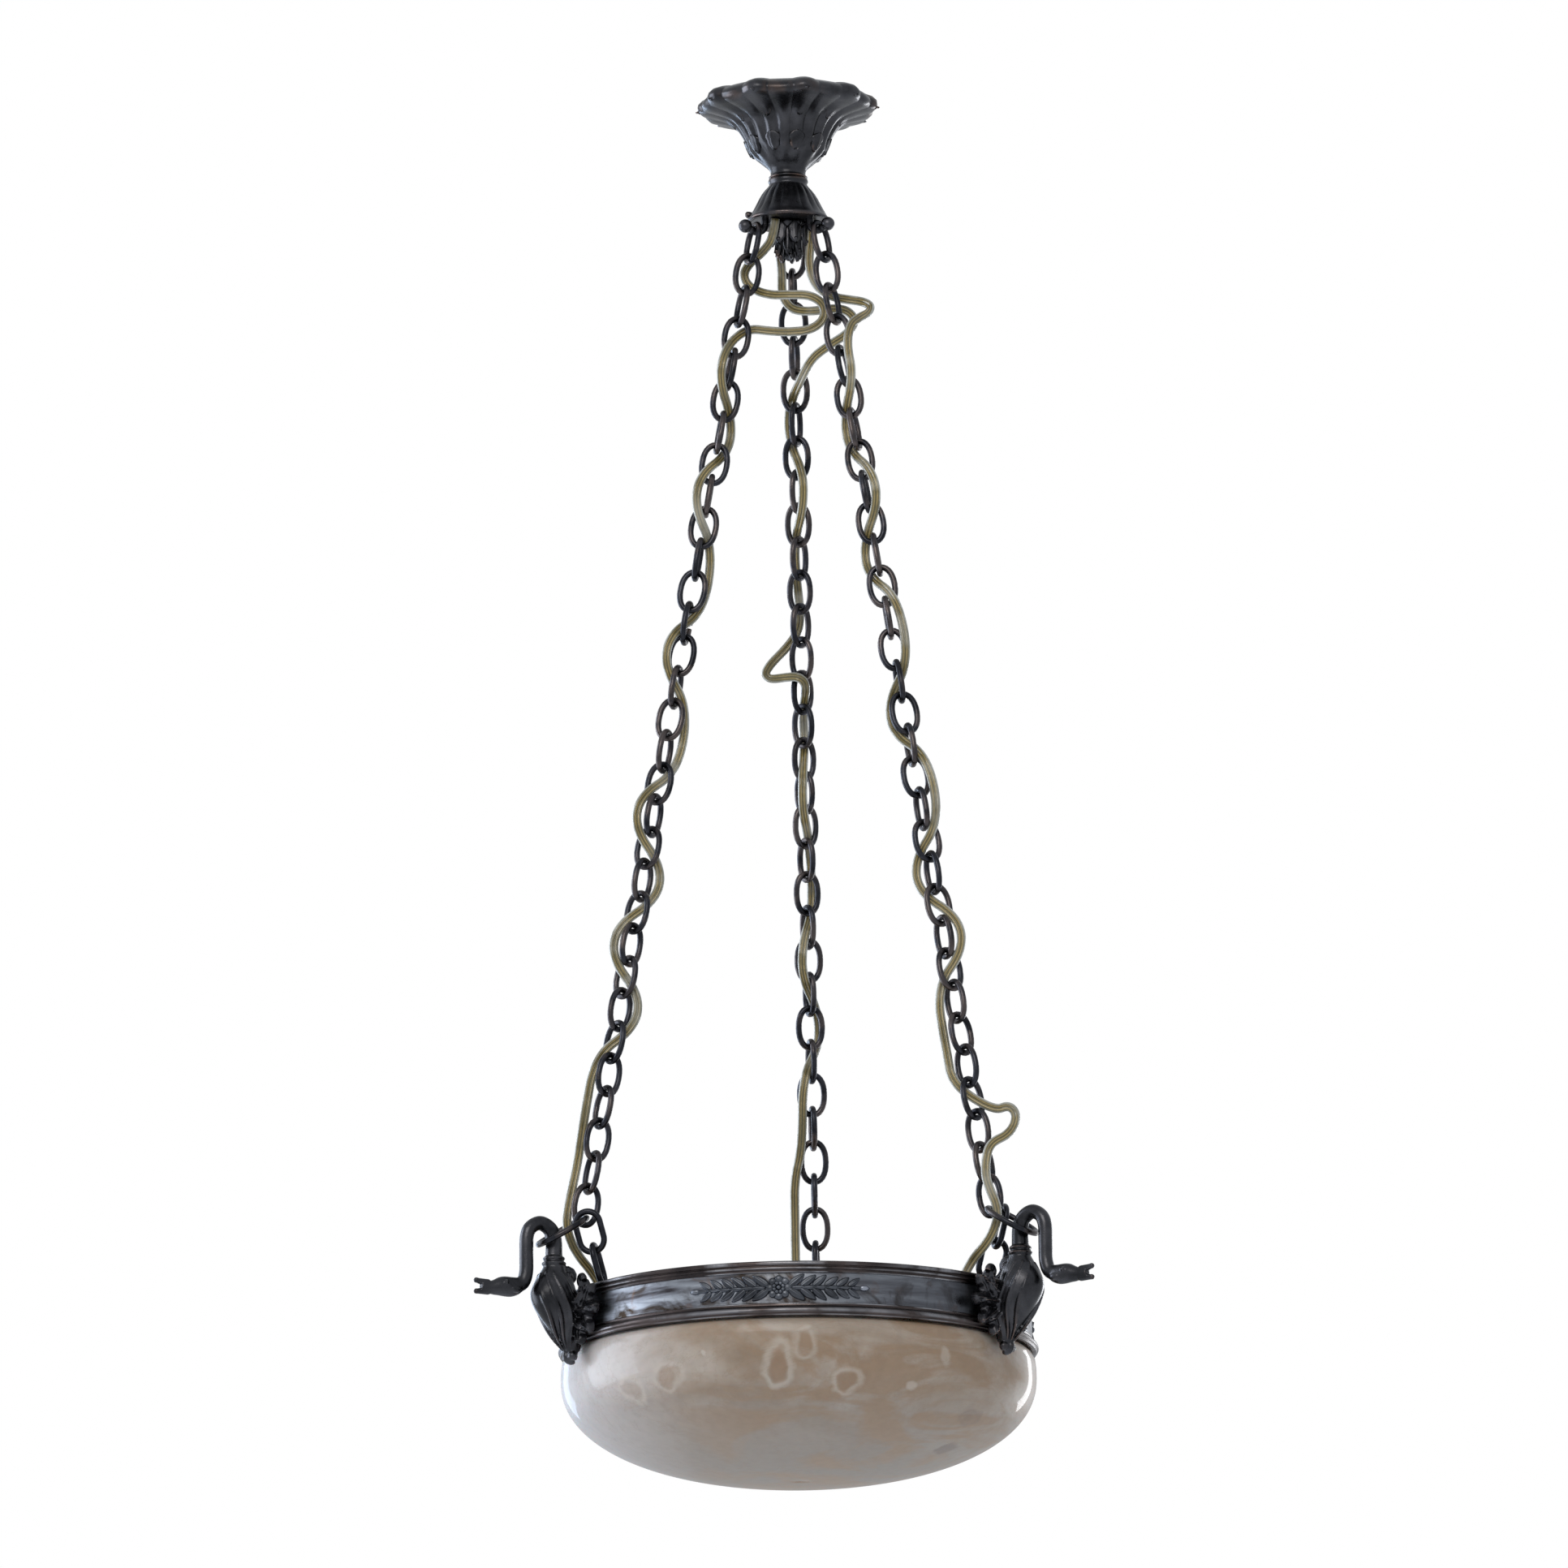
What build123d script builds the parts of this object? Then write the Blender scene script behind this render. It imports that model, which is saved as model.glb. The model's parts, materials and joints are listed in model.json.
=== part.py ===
from build123d import *
import math
import os

os.makedirs("parts", exist_ok=True)

# A bowl of alabaster hangs on three chains from a small bell-shaped hub and a
# ceiling canopy. The origin is the middle of the ceiling plate's upper face,
# +Z points up, and -Y is the front. Heights with "band" in the name are
# measured from the top of the bowl's ring.

# ---------------------------------------------------------------- clearances
thread_clearance = 0.05
link_clearance = 0.3
ring_seat_clearance = 0.25
stone_clearance = 0.5
moving_clearance = 0.08
seat_clearance = 0.3

# ------------------------------------------------------------- ceiling fixing
plate_radius = 22.0
plate_thickness = 2.5
screw_spacing = 30.0
screw_hole_radius = 2.25
hook_wire = 2.0
hook_loop = 6.0
hook_neck = 4.5
swing_wire = 1.75
swing_loop = 7.0
eye_wire = 2.0
eye_loop = 6.0
eye_barrel_radius = 6.5
rod_radius = 4.0

# --------------------------------------------------------------------- canopy
canopy_gap = 4.0
canopy_radius = 58.5
canopy_wall = 2.2
canopy_height = 57.0
canopy_floor = 43.0
neck_radius = 11.9
collar_radius = 12.8

# ------------------------------------------------------------------------ hub
crown_height = 30.0
crown_radius = 27.5
crown_wall = 2.5
hub_plate_thickness = 3.0
finial_length = 26.0
finial_radius = 12.0
hub_hook_wire = 2.5
hub_hook_bend = 6.5
hub_hook_reach = 23.5
hub_hook_drop = 2.0
hub_hook_thread = 1.8
hub_hook_turn = 138.0
hub_ball_radius = 4.5
hub_ball_out = 8.0
hub_ball_drop = 3.3
cord_hole_reach = 16.0
cord_hole_turn = 32.0
cord_hole_play = 0.8

# --------------------------------------------------------------------- chains
link_length = 30.5
link_width = 20.2
link_wire = 2.0
link_count = 31
opened_link = 12
opened_gap = 3.0

# ----------------------------------------------------------- ring of the bowl
ring_inner = 149.5
band_wall = 2.2
band_height = 19.4
top_moulding_wall = 5.5
top_moulding_height = 7.5
low_moulding_wall = 6.5
low_moulding_height = 8.5

# ---------------------------------------------------------------------- swans
stem_stand_off = 18.0
stem_radius = 6.3
swan_drop = 46.0
swan_foot_radius = 5.4
swan_foot_set_out = 6.5
swan_neck_radius = 4.4
swan_crook_rise = 39.6
swan_crook_reach = 19.0
swan_head_reach = 28.0
swan_head_drop = 2.8
swan_wing_span = 54.0
swan_wing_depth = 5.0
swan_pad_depth = 12.0
swan_pad_width = 16.0

# ----------------------------------------------------- neck rings, spare links
neck_ring_wire = 2.0
neck_ring_width = 34.0
neck_ring_set_out = 3.0
neck_ring_seat = 26.0
neck_ring_play = 0.7
spare_count = 2
spare_side = 9.0
spare_lean = 16.0
spare_lip_gap = 3.2

# ----------------------------------------------------------------------- bowl
bowl_overhang = 4.9
bowl_belly = 16.0
bowl_depth = 82.0
bowl_wall = 9.0
bowl_lip_drop = 3.0
bowl_power = 2.2

# ---------------------------------------------------------- studs and lighting
stud_radius = 2.5
nut_across = 9.0
nut_height = 4.5
bracket_width = 16.0
bracket_thickness = 2.0
bracket_drop = 32.0
lamp_drop = 44.0
holder_radius = 13.0
holder_length = 36.0
cap_radius = 7.3
cap_length = 24.0
bulb_radius = 22.5
bulb_neck = 9.0
holder_screw_radius = 1.5
holder_screw_side = 5.0
screw_head_radius = 2.6
screw_head_height = 1.6

# ----------------------------------------------------------------------- cords
cord_radius = 2.4
weave_offset = 11.3

arm_angles = {"left": 210.0, "right": 330.0, "back": 90.0}
garland_angles = {"front": 270.0, "right_rear": 30.0, "left_rear": 150.0}
twist_sign = {"left": 1, "right": -1, "back": 1}

# ------------------------------------------------------------- worked-out sizes
hook_bottom = -(plate_thickness + hook_neck + 2 * hook_loop)
swing_top = hook_bottom + hook_wire + swing_wire + ring_seat_clearance
swing_bottom = swing_top - 2 * swing_loop
eye_top = swing_bottom + swing_wire + eye_wire + ring_seat_clearance
eye_bottom = eye_top - 2 * eye_loop
rim_top = -canopy_gap
canopy_base = rim_top - canopy_height
crown_base = canopy_base - crown_height
hub_plate_top = crown_base + hub_plate_thickness
finial_tip = crown_base - finial_length

link_half = link_length / 2 - link_wire
link_side = link_width / 2 - link_wire
link_pitch = link_length - 4 * link_wire - link_clearance
first_crown = hub_hook_bend - hub_hook_wire - link_wire - link_clearance
first_link = first_crown + link_half
last_link = first_link + (link_count - 1) * link_pitch
chain_length = last_link + link_half - link_wire - neck_ring_wire - link_clearance
twist_step = 90.0 / (link_count - 1)

band_outer = ring_inner + band_wall
top_moulding_outer = ring_inner + top_moulding_wall
low_moulding_outer = ring_inner + low_moulding_wall
bowl_radius = ring_inner + bowl_overhang
stem_reach = low_moulding_outer + stem_stand_off
neck_ring_reach = ring_inner + neck_ring_set_out

spare_drop = link_half - link_wire - neck_ring_wire - link_clearance
spare_hang = spare_drop + (spare_count - 1) * link_pitch + link_length / 2
neck_ring_rise = spare_hang * math.cos(math.radians(spare_lean)) + spare_lip_gap - bowl_lip_drop

chain_run = neck_ring_reach - hub_hook_reach
hub_hook_z = crown_base - hub_hook_drop
chain_drop = math.sqrt(chain_length**2 - chain_run**2)
ring_end_z = hub_hook_z - chain_drop
band_top = ring_end_z - neck_ring_rise
ring_height = top_moulding_height + band_height + low_moulding_height
ring_bottom = band_top - ring_height
face_middle = band_top - top_moulding_height - band_height / 2
bowl_neck_outer = ring_inner - stone_clearance
bowl_neck_inner = bowl_neck_outer - bowl_wall
lamp_z = band_top - lamp_drop
bracket_outer = math.sqrt((bowl_neck_inner - seat_clearance) ** 2 - (bracket_width / 2) ** 2)
bracket_inner = bracket_outer - bracket_thickness
holder_mouth = bracket_inner - holder_length


def out(shape, node):
    export_step(shape, "parts/" + node + ".step")


def at_arm(shape, angle):
    """Turn a shape built along +X to an arm's place round the axis."""
    return Rot(0, 0, angle) * shape


def rod(radius, start, end):
    """A round bar between two points."""
    run = Vector(*end) - Vector(*start)
    bar = extrude(Plane(origin=start, z_dir=run) * Circle(radius), run.length)
    return bar


def turned(profile):
    """Revolve an outline drawn in the XZ plane about Z."""
    return revolve(profile, axis=Axis.Z)


def rz(*points):
    """Points of a turned profile, from radius and height pairs."""
    return [(r, 0, z) for r, z in points]


def swept_wire(path, radius):
    """A round wire along a path."""
    start = path @ 0
    return sweep(Plane(origin=start, z_dir=path % 0) * Circle(radius), path=path)


# ------------------------------------------------------------- ceiling fixing
def ceiling_plate():
    disc = Pos(0, 0, -plate_thickness / 2) * Cylinder(plate_radius, plate_thickness)
    hole = Cylinder(screw_hole_radius, 4 * plate_thickness)
    holes = Pos(screw_spacing / 2, 0, 0) * hole + Pos(-screw_spacing / 2, 0, 0) * hole
    bore = Cylinder(hook_wire + thread_clearance, 4 * plate_thickness)
    return disc - holes - bore


def ceiling_hook():
    """A hook whose loop lies in the XZ plane, open on its left side."""
    centre_z = hook_bottom + hook_loop
    shank = rod(hook_wire, (0, 0, -0.5), (0, 0, centre_z + hook_loop))
    circle = Plane(origin=(0, 0, centre_z + hook_loop), z_dir=(1, 0, 0)) * Circle(hook_wire)
    loop = revolve(circle, axis=Axis((0, 0, centre_z), (0, 1, 0)), revolution_arc=290)
    collar = Pos(0, 0, -plate_thickness - 0.75) * Cylinder(2 * hook_wire, 1.5)
    return shank + loop + collar


def suspension_ring():
    centre_z = swing_top - swing_loop
    return Pos(0, 0, centre_z) * Rot(0, 90, 0) * Torus(swing_loop, swing_wire)


def rod_eye():
    """An eye with a threaded barrel that clamps the canopy on the rod."""
    centre_z = eye_top - eye_loop
    floor = rim_top - canopy_floor
    eye = Pos(0, 0, centre_z) * Rot(90, 0, 0) * Torus(eye_loop, eye_wire)
    top = eye_bottom - eye_wire / 2
    barrel = rod(eye_barrel_radius, (0, 0, floor), (0, 0, top))
    bore = rod(rod_radius + thread_clearance, (0, 0, floor - 1), (0, 0, top - 2.5))
    return eye + barrel - bore


def centre_rod():
    top = eye_bottom - eye_wire / 2 - 3
    return rod(rod_radius, (0, 0, finial_tip + 10), (0, 0, top))


# --------------------------------------------------------------------- canopy
def canopy():
    """A flared bell with a narrow neck and a collar."""
    r = canopy_radius
    top = rim_top
    outer = [(r, -4.6), (r - 8, -7), (0.74 * r, -9.8), (0.61 * r, -13.6), (0.52 * r, -20.2),
             (0.47 * r, -27), (0.44 * r, -32.5), (0.37 * r, -37.2), (0.275 * r, -43.3)]
    inner = [(r - 2.5, 0), (r - 9, -4.6), (0.71 * r, -7.6), (0.575 * r, -11.6),
             (0.485 * r, -19), (0.43 * r, -27), (0.4 * r, -32), (0.33 * r, -36.6)]
    outer_curve = Spline(*rz(*[(x, top + z) for x, z in outer], (neck_radius, top - 47.6)))
    inner_curve = Spline(*rz(*[(x, top + z) for x, z in inner], (13, top - canopy_floor)))
    bore_radius = rod_radius + thread_clearance
    rim = Polyline(*rz((r - 2.5, top), (r - 0.6, top), (r, top - 1), (r, top - 4.6)))
    neck = Polyline(*rz((neck_radius, top - 47.6), (neck_radius, top - 53),
                        (collar_radius, top - 54.5), (collar_radius, canopy_base),
                        (bore_radius, canopy_base), (bore_radius, top - canopy_floor),
                        (13, top - canopy_floor)))
    return turned(make_face([rim, outer_curve, neck, inner_curve]))


# ------------------------------------------------------------------------ hub
def hub_crown():
    """The ribbed bell under the canopy, hollow and open below."""
    top = canopy_base
    outer = [(collar_radius + 0.8, top - 3), (17.5, top - 6.4), (19.8, top - 9.8),
             (22.7, top - 16.3), (26.4, top - 22.6)]
    inner = [(crown_radius - crown_wall, top - 26), (23.6, top - 22.4),
             (20.2, top - 16.3), (17.2, top - 9.8)]
    outer_curve = Spline(*rz(*outer, (crown_radius, top - 26.3)))
    inner_curve = Spline(*rz(*inner, (12, top - 6)))
    bore_radius = rod_radius + thread_clearance
    shoulder = Polyline(*rz((12, top - 6), (bore_radius, top - 6), (bore_radius, top),
                            (collar_radius, top), outer[0]))
    skirt = Polyline(*rz((crown_radius, top - 26.3), (crown_radius, crown_base),
                         (crown_radius - crown_wall, crown_base), inner[0]))
    return turned(make_face([shoulder, outer_curve, skirt, inner_curve]))


def hub_plate():
    """The plate that closes the crown and carries hooks and cord holes."""
    radius = crown_radius - crown_wall - 0.1
    middle = crown_base + hub_plate_thickness / 2
    disc = Pos(0, 0, middle) * Cylinder(radius, hub_plate_thickness)
    disc -= Pos(0, 0, middle) * Cylinder(rod_radius + thread_clearance, 9)
    for angle in arm_angles.values():
        hole = Pos(cord_hole_reach, 0, middle) * Cylinder(cord_radius + cord_hole_play, 9)
        disc -= at_arm(hole, angle + cord_hole_turn)
        reach = hub_hook_reach - hub_hook_bend
        bore = Pos(reach, 0, middle) * Cylinder(hub_hook_thread + thread_clearance, 9)
        disc -= at_arm(bore, angle)
    return disc


def hub_hook():
    """A hook turned up to a ball, screwed into the hub plate."""
    reach = hub_hook_reach - hub_hook_bend
    shank = rod(hub_hook_thread, (reach, 0, crown_base - 0.1), (reach, 0, hub_plate_top - 0.5))
    stem = rod(hub_hook_wire, (reach, 0, hub_hook_z), (reach, 0, crown_base))
    start = Plane(origin=(reach, 0, hub_hook_z), z_dir=(0, 0, -1)) * Circle(hub_hook_wire)
    bend_axis = Axis((hub_hook_reach, 0, hub_hook_z), (0, -1, 0))
    bend = revolve(start, axis=bend_axis, revolution_arc=hub_hook_turn)
    ball_spot = Pos(hub_hook_reach + hub_ball_out, 0, hub_hook_z - hub_ball_drop)
    return shank + stem + bend + ball_spot * Sphere(hub_ball_radius)


def connector_block():
    """The terminal block that joins the three cords inside the crown."""
    block = Pos(10, 0, hub_plate_top + 4.5) * Box(9, 14, 9)
    for y in (-4.5, 0, 4.5):
        block -= Pos(10, y, hub_plate_top + 4.5) * Rot(0, 90, 0) * Cylinder(1.4, 20)
    return at_arm(block, 30)


def finial():
    """The leafy drop that screws on the rod and clamps the hub."""
    r = finial_radius
    base = crown_base
    tip = finial_tip
    side = Spline(*rz((r, base - 1.5), (0.88 * r, base - 5), (0.8 * r, base - 12),
                      (0.68 * r, tip + 7), (0.36 * r, tip + 1.8), (1.2, tip)))
    edge = Polyline(*rz((1.2, tip), (0, tip), (0, base), (r, base), (r, base - 1.5)))
    body = turned(make_face([side, edge]))
    return body - rod(rod_radius + thread_clearance, (0, 0, tip + 9), (0, 0, base + 1))


# --------------------------------------------------------------------- chains
def chain_link(gap=0.0):
    """One oval link: length along Z, width along X, centred on the origin."""
    straight = link_half - link_side
    disc = Circle(link_wire)
    end = revolve(Plane(origin=(link_side, 0, 0), z_dir=(0, 0, 1)) * disc,
                  axis=Axis((0, 0, 0), (0, -1, 0)), revolution_arc=180)
    link = Pos(0, 0, straight) * end + Pos(0, 0, -straight) * Rot(180, 0, 0) * end
    for x in (link_side, -link_side):
        link += rod(link_wire, (x, 0, -straight), (x, 0, straight))
    if gap:
        link -= Pos(-link_side, 0, 0) * Box(4 * link_wire, 4 * link_wire, gap)
    return link


def chain_direction():
    return Vector(chain_run, 0, -chain_drop).normalized()


def chain_plane(s, turn):
    """The place of a link on a chain along +X: s down the chain, turned about it."""
    along = chain_direction()
    origin = Vector(hub_hook_reach, 0, hub_hook_z) + along * s
    width = Vector(0, 1, 0).rotate(Axis((0, 0, 0), along), turn)
    return Plane(origin=origin, x_dir=width, z_dir=along)


def chain_links(name):
    """The links of one chain, each a quarter turn and a little more on the last."""
    links = []
    for i in range(link_count):
        turn = i * (90 + twist_step * twist_sign[name])
        gap = opened_gap if (name == "left" and i == opened_link) else 0.0
        plane = chain_plane(first_link + i * link_pitch, turn)
        links.append(at_arm(plane.location * chain_link(gap), arm_angles[name]))
    return Compound(children=links)


# ----------------------------------------------------------------------- cords
# A cord leaves the hub, hangs in a loose loop, weaves down its chain and goes
# into the bowl. "weave" lists link joints from the top and the side of the
# chain that the cord lies on there. "kink" is a fold that stands off the chain
# after the joint it is named for. Other points are X, Y, Z in the whole frame,
# or for "drop" reach, side and height over the band at the arm.
cord_routes = {
    "left": {
        "loop": [(-7.5, -14.1, -91.4), (-9, -11, -103), (-16, -5, -111), (-26, -1.5, -118),
                 (-30.5, -3.5, -127), (-25.5, -4, -136), (-12, -8, -142), (2, -12.5, -143),
                 (15, -12, -143.5), (24, -10, -149.5), (24, -9.5, -160), (15, -10.5, -167),
                 (1, -10.6, -168), (-12, -8.5, -166.5)],
        "weave": [(3, -1), (4, 1), (5, 1), (6, -1), (7, -1), (8, 1), (9, 1), (10, -1),
                  (12, -1), (13, 1), (14, 1), (15, -1), (17, -1), (18, 1), (19, 1),
                  (20, -1), (21, -1), (22, 1), (23, 1), (24, -1), (25, -1), (26, 1), (28, 1)],
        "drop": [(152.5, -9, 84), (158, -8, 62), (163, -6.5, 41), (156, -7, 24),
                 (141, -9, 10), (131.5, -9.5, -8), (128, -8.8, -30.8)]},
    "right": {
        "loop": [(16, 0.6, -91.4), (14.3, 1, -105), (13, 1, -120), (17, 0.4, -134),
                 (28, -0.8, -142.5), (40, -1.7, -145), (49.5, -3.5, -147), (55, -8, -151.5),
                 (53.5, -14.5, -157.5), (48, -21, -162), (42.5, -28.5, -168)],
        "weave": [(4, -1), (5, -1), (6, 1), (7, 1), (8, -1), (9, -1), (10, 1), (11, 1),
                  (12, -1), (14, -1), (15, 1), (16, 1), (17, -1), (19, -1), (20, 1),
                  (21, 1), (22, -1), (23, -1), (24, 1), (26, 1), (27, 1)],
        "kink": (27, [(133.8, -70, -705.4), (143.7, -70.7, -701.5), (149.2, -74.1, -709.8),
                      (144.4, -78.8, -722.3), (131.8, -84.5, -728.9), (128.8, -86.5, -740.9),
                      (129, -87.5, -754.4)]),
        "drop": [(163, -6.5, 41), (156, -7, 24), (141, -9, 10), (131.5, -9.5, -8),
                 (128, -8.8, -30.8)]},
    "back": {
        "loop": [(-8.5, 13.6, -91.4), (-7.1, 13.5, -106), (-5.9, 16.6, -122), (-6.5, 18.5, -135.5),
                 (0, 17, -146), (13, 13.1, -148.5), (26, 8.2, -148), (37.5, 6, -149.5),
                 (43.5, 8, -156.5), (38, 12.5, -164), (26, 19, -169.5), (13.5, 26, -176)],
        "weave": [(4, -1), (5, 1), (6, 1), (7, -1), (8, -1), (9, 1), (10, 1), (14, 1),
                  (15, 1), (16, -1), (17, -1), (18, 1), (20, 1), (21, -1), (22, -1),
                  (23, 1), (24, 1), (25, -1), (27, -1)],
        "kink": (10, [(-0.5, 83.4, -341.7), (-5.8, 83.4, -355.4), (-25.2, 79, -375.7),
                      (-22.2, 74.4, -383.4), (-8.3, 69.1, -382.8), (-1, 66, -383.7),
                      (3.8, 69.5, -388.1)]),
        "drop": [(134, 12.5, 107), (141, 13, 84), (143, 13, 60), (141, 12.5, 36),
                 (136, 11.5, 14), (130, 9.5, -8), (128, 8.8, -30.8)]},
}


def cord_points(name):
    """The corner points of one cord's route."""
    route = cord_routes[name]
    arm = Rot(0, 0, arm_angles[name])
    kink_joint, kink = route.get("kink", (None, []))
    points = [Vector(*p) for p in route["loop"]]
    for joint, side in route["weave"]:
        s = first_link + (joint - 0.5) * link_pitch
        turn = ((joint - 0.5) * twist_step + 45) * twist_sign[name]
        plane = chain_plane(s, turn)
        spot = plane.origin + plane.x_dir * (side * weave_offset)
        points.append((arm * Pos(*spot)).position)
        if joint == kink_joint:
            points += [Vector(*p) for p in kink]
    for reach, side, height in route["drop"]:
        points.append((arm * Pos(reach, side, band_top + height)).position)
    return points


def cord(name):
    """A round tube with the cord's section area along its route."""
    points = cord_points(name)
    radii = []
    for before, here, after in zip(points, points[1:], points[2:]):
        run_in = here - before
        run_out = after - here
        half_turn = math.radians(run_in.get_angle(run_out)) / 2
        radii.append(0.45 * min(run_in.length, run_out.length) / math.tan(half_turn))
    path = FilletPolyline(*points, radius=radii)
    tube = swept_wire(path, cord_radius)
    runs = [(b - a).length for a, b in zip(points, points[1:])]
    expected = math.pi * cord_radius**2 * path.length
    print(name, "cord", round(path.length), "mm, least radius", round(min(radii), 1),
          "at", radii.index(min(radii)) + 1, "runs", round(min(runs)), "to", round(max(runs)),
          "volume ratio", round(tube.volume / expected, 4))
    return tube


# ------------------------------------------------------------ ring of the bowl
def ring_piece(inner, outer, top, height, edge):
    """A turned ring with rounded outer edges."""
    profile = Plane.XZ * Pos((inner + outer) / 2, top - height / 2) * Rectangle(outer - inner, height)
    if edge:
        corners = profile.vertices().filter_by(lambda v: v.X > (inner + outer) / 2)
        profile = fillet(corners, edge)
    return turned(profile)


def top_moulding():
    return ring_piece(ring_inner, top_moulding_outer, band_top, top_moulding_height, 2.6)


def low_moulding():
    top = band_top - top_moulding_height - band_height
    return ring_piece(ring_inner, low_moulding_outer, top, low_moulding_height, 2.8)


def ring_band():
    band = ring_piece(ring_inner, band_outer, band_top - top_moulding_height, band_height, 0)
    for angle in arm_angles.values():
        band -= at_arm(stud_bore(0.1), angle)
    return band


def stud_bore(clearance):
    """The hole for a swan's stud, right through ring and stone."""
    start = (bowl_neck_inner - 10, 0, face_middle)
    return rod(stud_radius + clearance, start, (band_outer + 20, 0, face_middle))


def garland():
    """A laurel spray with a rosette, laid on the band's face."""
    inner = band_outer + 0.05
    strip = ring_piece(inner, inner + 1.8, face_middle + 5, 10, 0)
    sector = Pos(inner, 0, face_middle) * Box(40, 2 * inner * math.sin(math.radians(22)), 20)
    spray = strip & sector
    rosette = rod(7.5, (inner - 3, 0, face_middle), (inner + 2.6, 0, face_middle))
    return spray + (rosette - Pos(0, 0, face_middle) * Cylinder(inner, 60))


def swan():
    """A swan with a hooked neck, its breast bolted to the ring."""
    # each section: height over the band, how far inside the stem, half depth, half width
    sections = [(13, 0, 6.8, 6.8), (5, 0.4, 11, 10), (-6, 0, 16.5, 14),
                (-20, 3, 13.5, 14), (-34, 9, 7.5, 10), (-swan_drop, 12.2, 4, 6)]
    rings = [Pos(stem_reach - inside, 0, band_top + z) * Ellipse(depth, width)
             for z, inside, depth, width in sections]
    body = loft(rings[::-1])
    foot_z = band_top - swan_drop
    foot = Pos(low_moulding_outer + swan_foot_set_out, 0, foot_z) * Sphere(swan_foot_radius)
    foot_space = Pos(0, 0, foot_z) * Cylinder(low_moulding_outer + 1.2, 20)
    stem = rod(stem_radius, (stem_reach, 0, band_top + 10), (stem_reach, 0, band_top + 30))
    crook_z = band_top + swan_crook_rise
    crook_x = stem_reach + swan_crook_reach
    head_z = band_top - swan_head_drop
    neck_path = FilletPolyline(
        (stem_reach, 0, band_top + 20), (stem_reach, 0, crook_z), (crook_x, 0, crook_z),
        (crook_x + 0.5, 0, head_z + 0.5), (crook_x + 18, 0, head_z), radius=[9.4, 9.4, 8])
    neck = swept_wire(neck_path, swan_neck_radius)
    nape = stem_reach + swan_head_reach
    outline = Spline((nape, 0, 3.6), (nape + 8, 0, 6.6), (nape + 16, 0, 5.2),
                     (nape + 22, 0, 3.7), (nape + 28.5, 0, 3.9), (nape + 32, 0, 0))
    face = make_face([outline, Polyline((nape + 32, 0, 0), (nape, 0, 0), (nape, 0, 3.6))])
    head = Pos(0, 0, head_z) * revolve(face, axis=Axis.X)
    wing_inner = low_moulding_outer + 0.5
    wings = ring_piece(wing_inner, wing_inner + swan_wing_depth, band_top - 1, 33, 1.5)
    wings = wings & (Pos(wing_inner, 0, band_top - 15) * Box(60, swan_wing_span, 60))
    pad_x = band_outer + 0.2 + swan_pad_depth / 2
    pad = Pos(pad_x, 0, face_middle) * Box(swan_pad_depth, swan_pad_width, swan_pad_width)
    figure = body + (foot - foot_space) + stem + neck + head + wings + pad
    return figure - rod(stud_radius + thread_clearance, (ring_inner - 10, 0, face_middle),
                        (band_outer + swan_pad_depth, 0, face_middle))


def swan_stud():
    """The stud that holds swan, ring, stone and lamp bracket together."""
    end = bracket_inner - nut_height - 2
    return rod(stud_radius, (end, 0, face_middle), (band_outer + swan_pad_depth - 0.5, 0, face_middle))


def stud_nut():
    hexagon = extrude(Plane.YZ * RegularPolygon(nut_across / 2, 6, major_radius=False), nut_height)
    bore = Rot(0, 90, 0) * Cylinder(stud_radius + thread_clearance, 4 * nut_height)
    return Pos(bracket_inner - nut_height, 0, face_middle) * (hexagon - bore)


def neck_ring_ends():
    """The wire's middle at both ends of a neck ring."""
    outer_reach = stem_reach + stem_radius + neck_ring_wire + neck_ring_play
    outer_end = Vector(outer_reach, 0, band_top + neck_ring_seat)
    inner_end = Vector(neck_ring_reach, 0, ring_end_z)
    return outer_end, inner_end


def neck_ring():
    """The oval wire ring that links a chain to a swan's neck."""
    outer_end, inner_end = neck_ring_ends()
    span = inner_end - outer_end
    side = neck_ring_width / 2 - neck_ring_wire
    straight = span.length / 2 - side
    middle = (outer_end + inner_end) * 0.5
    disc = Circle(neck_ring_wire)
    end = revolve(Plane(origin=(side, 0, 0), z_dir=(0, 0, 1)) * disc,
                  axis=Axis((0, 0, 0), (0, -1, 0)), revolution_arc=180)
    oval = Pos(0, 0, straight) * end + Pos(0, 0, -straight) * Rot(180, 0, 0) * end
    for x in (side, -side):
        oval += rod(neck_ring_wire, (x, 0, -straight), (x, 0, straight))
    plane = Plane(origin=middle, x_dir=(0, 1, 0), z_dir=span.normalized())
    return plane.location * oval


def spare_links(side):
    """Two links left over from a longer chain, hung on the neck ring."""
    outer_end, inner_end = neck_ring_ends()
    along_ring = (outer_end - inner_end).normalized()
    bend = neck_ring_width / 2 - neck_ring_wire
    swing = math.asin(spare_side / bend)
    setback = bend * (1 - math.cos(swing))
    seat = inner_end + along_ring * setback + Vector(0, side * spare_side, 0)
    lean = math.radians(spare_lean)
    along = Vector(-math.sin(lean), 0, -math.cos(lean))
    width = Vector(math.cos(swing), -side * math.sin(swing), 0)
    width = (width - along * width.dot(along)).normalized()
    links = []
    for i in range(spare_count):
        turned_width = width.rotate(Axis((0, 0, 0), along), 90 * i)
        centre = seat + along * (spare_drop + i * link_pitch)
        plane = Plane(origin=centre, x_dir=turned_width, z_dir=along)
        links.append(plane.location * chain_link())
    return links


# ----------------------------------------------------------------------- bowl
def bowl_curve(radius, depth, belly_z):
    """A superellipse from the belly to the bottom, as spline points."""
    points = []
    for step in range(7):
        angle = math.radians(90 * step / 6)
        r = radius * math.cos(angle) ** (2 / bowl_power) if step < 6 else 0
        z = belly_z - depth * math.sin(angle) ** (2 / bowl_power)
        points.append((r, 0, z))
    return points


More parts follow.
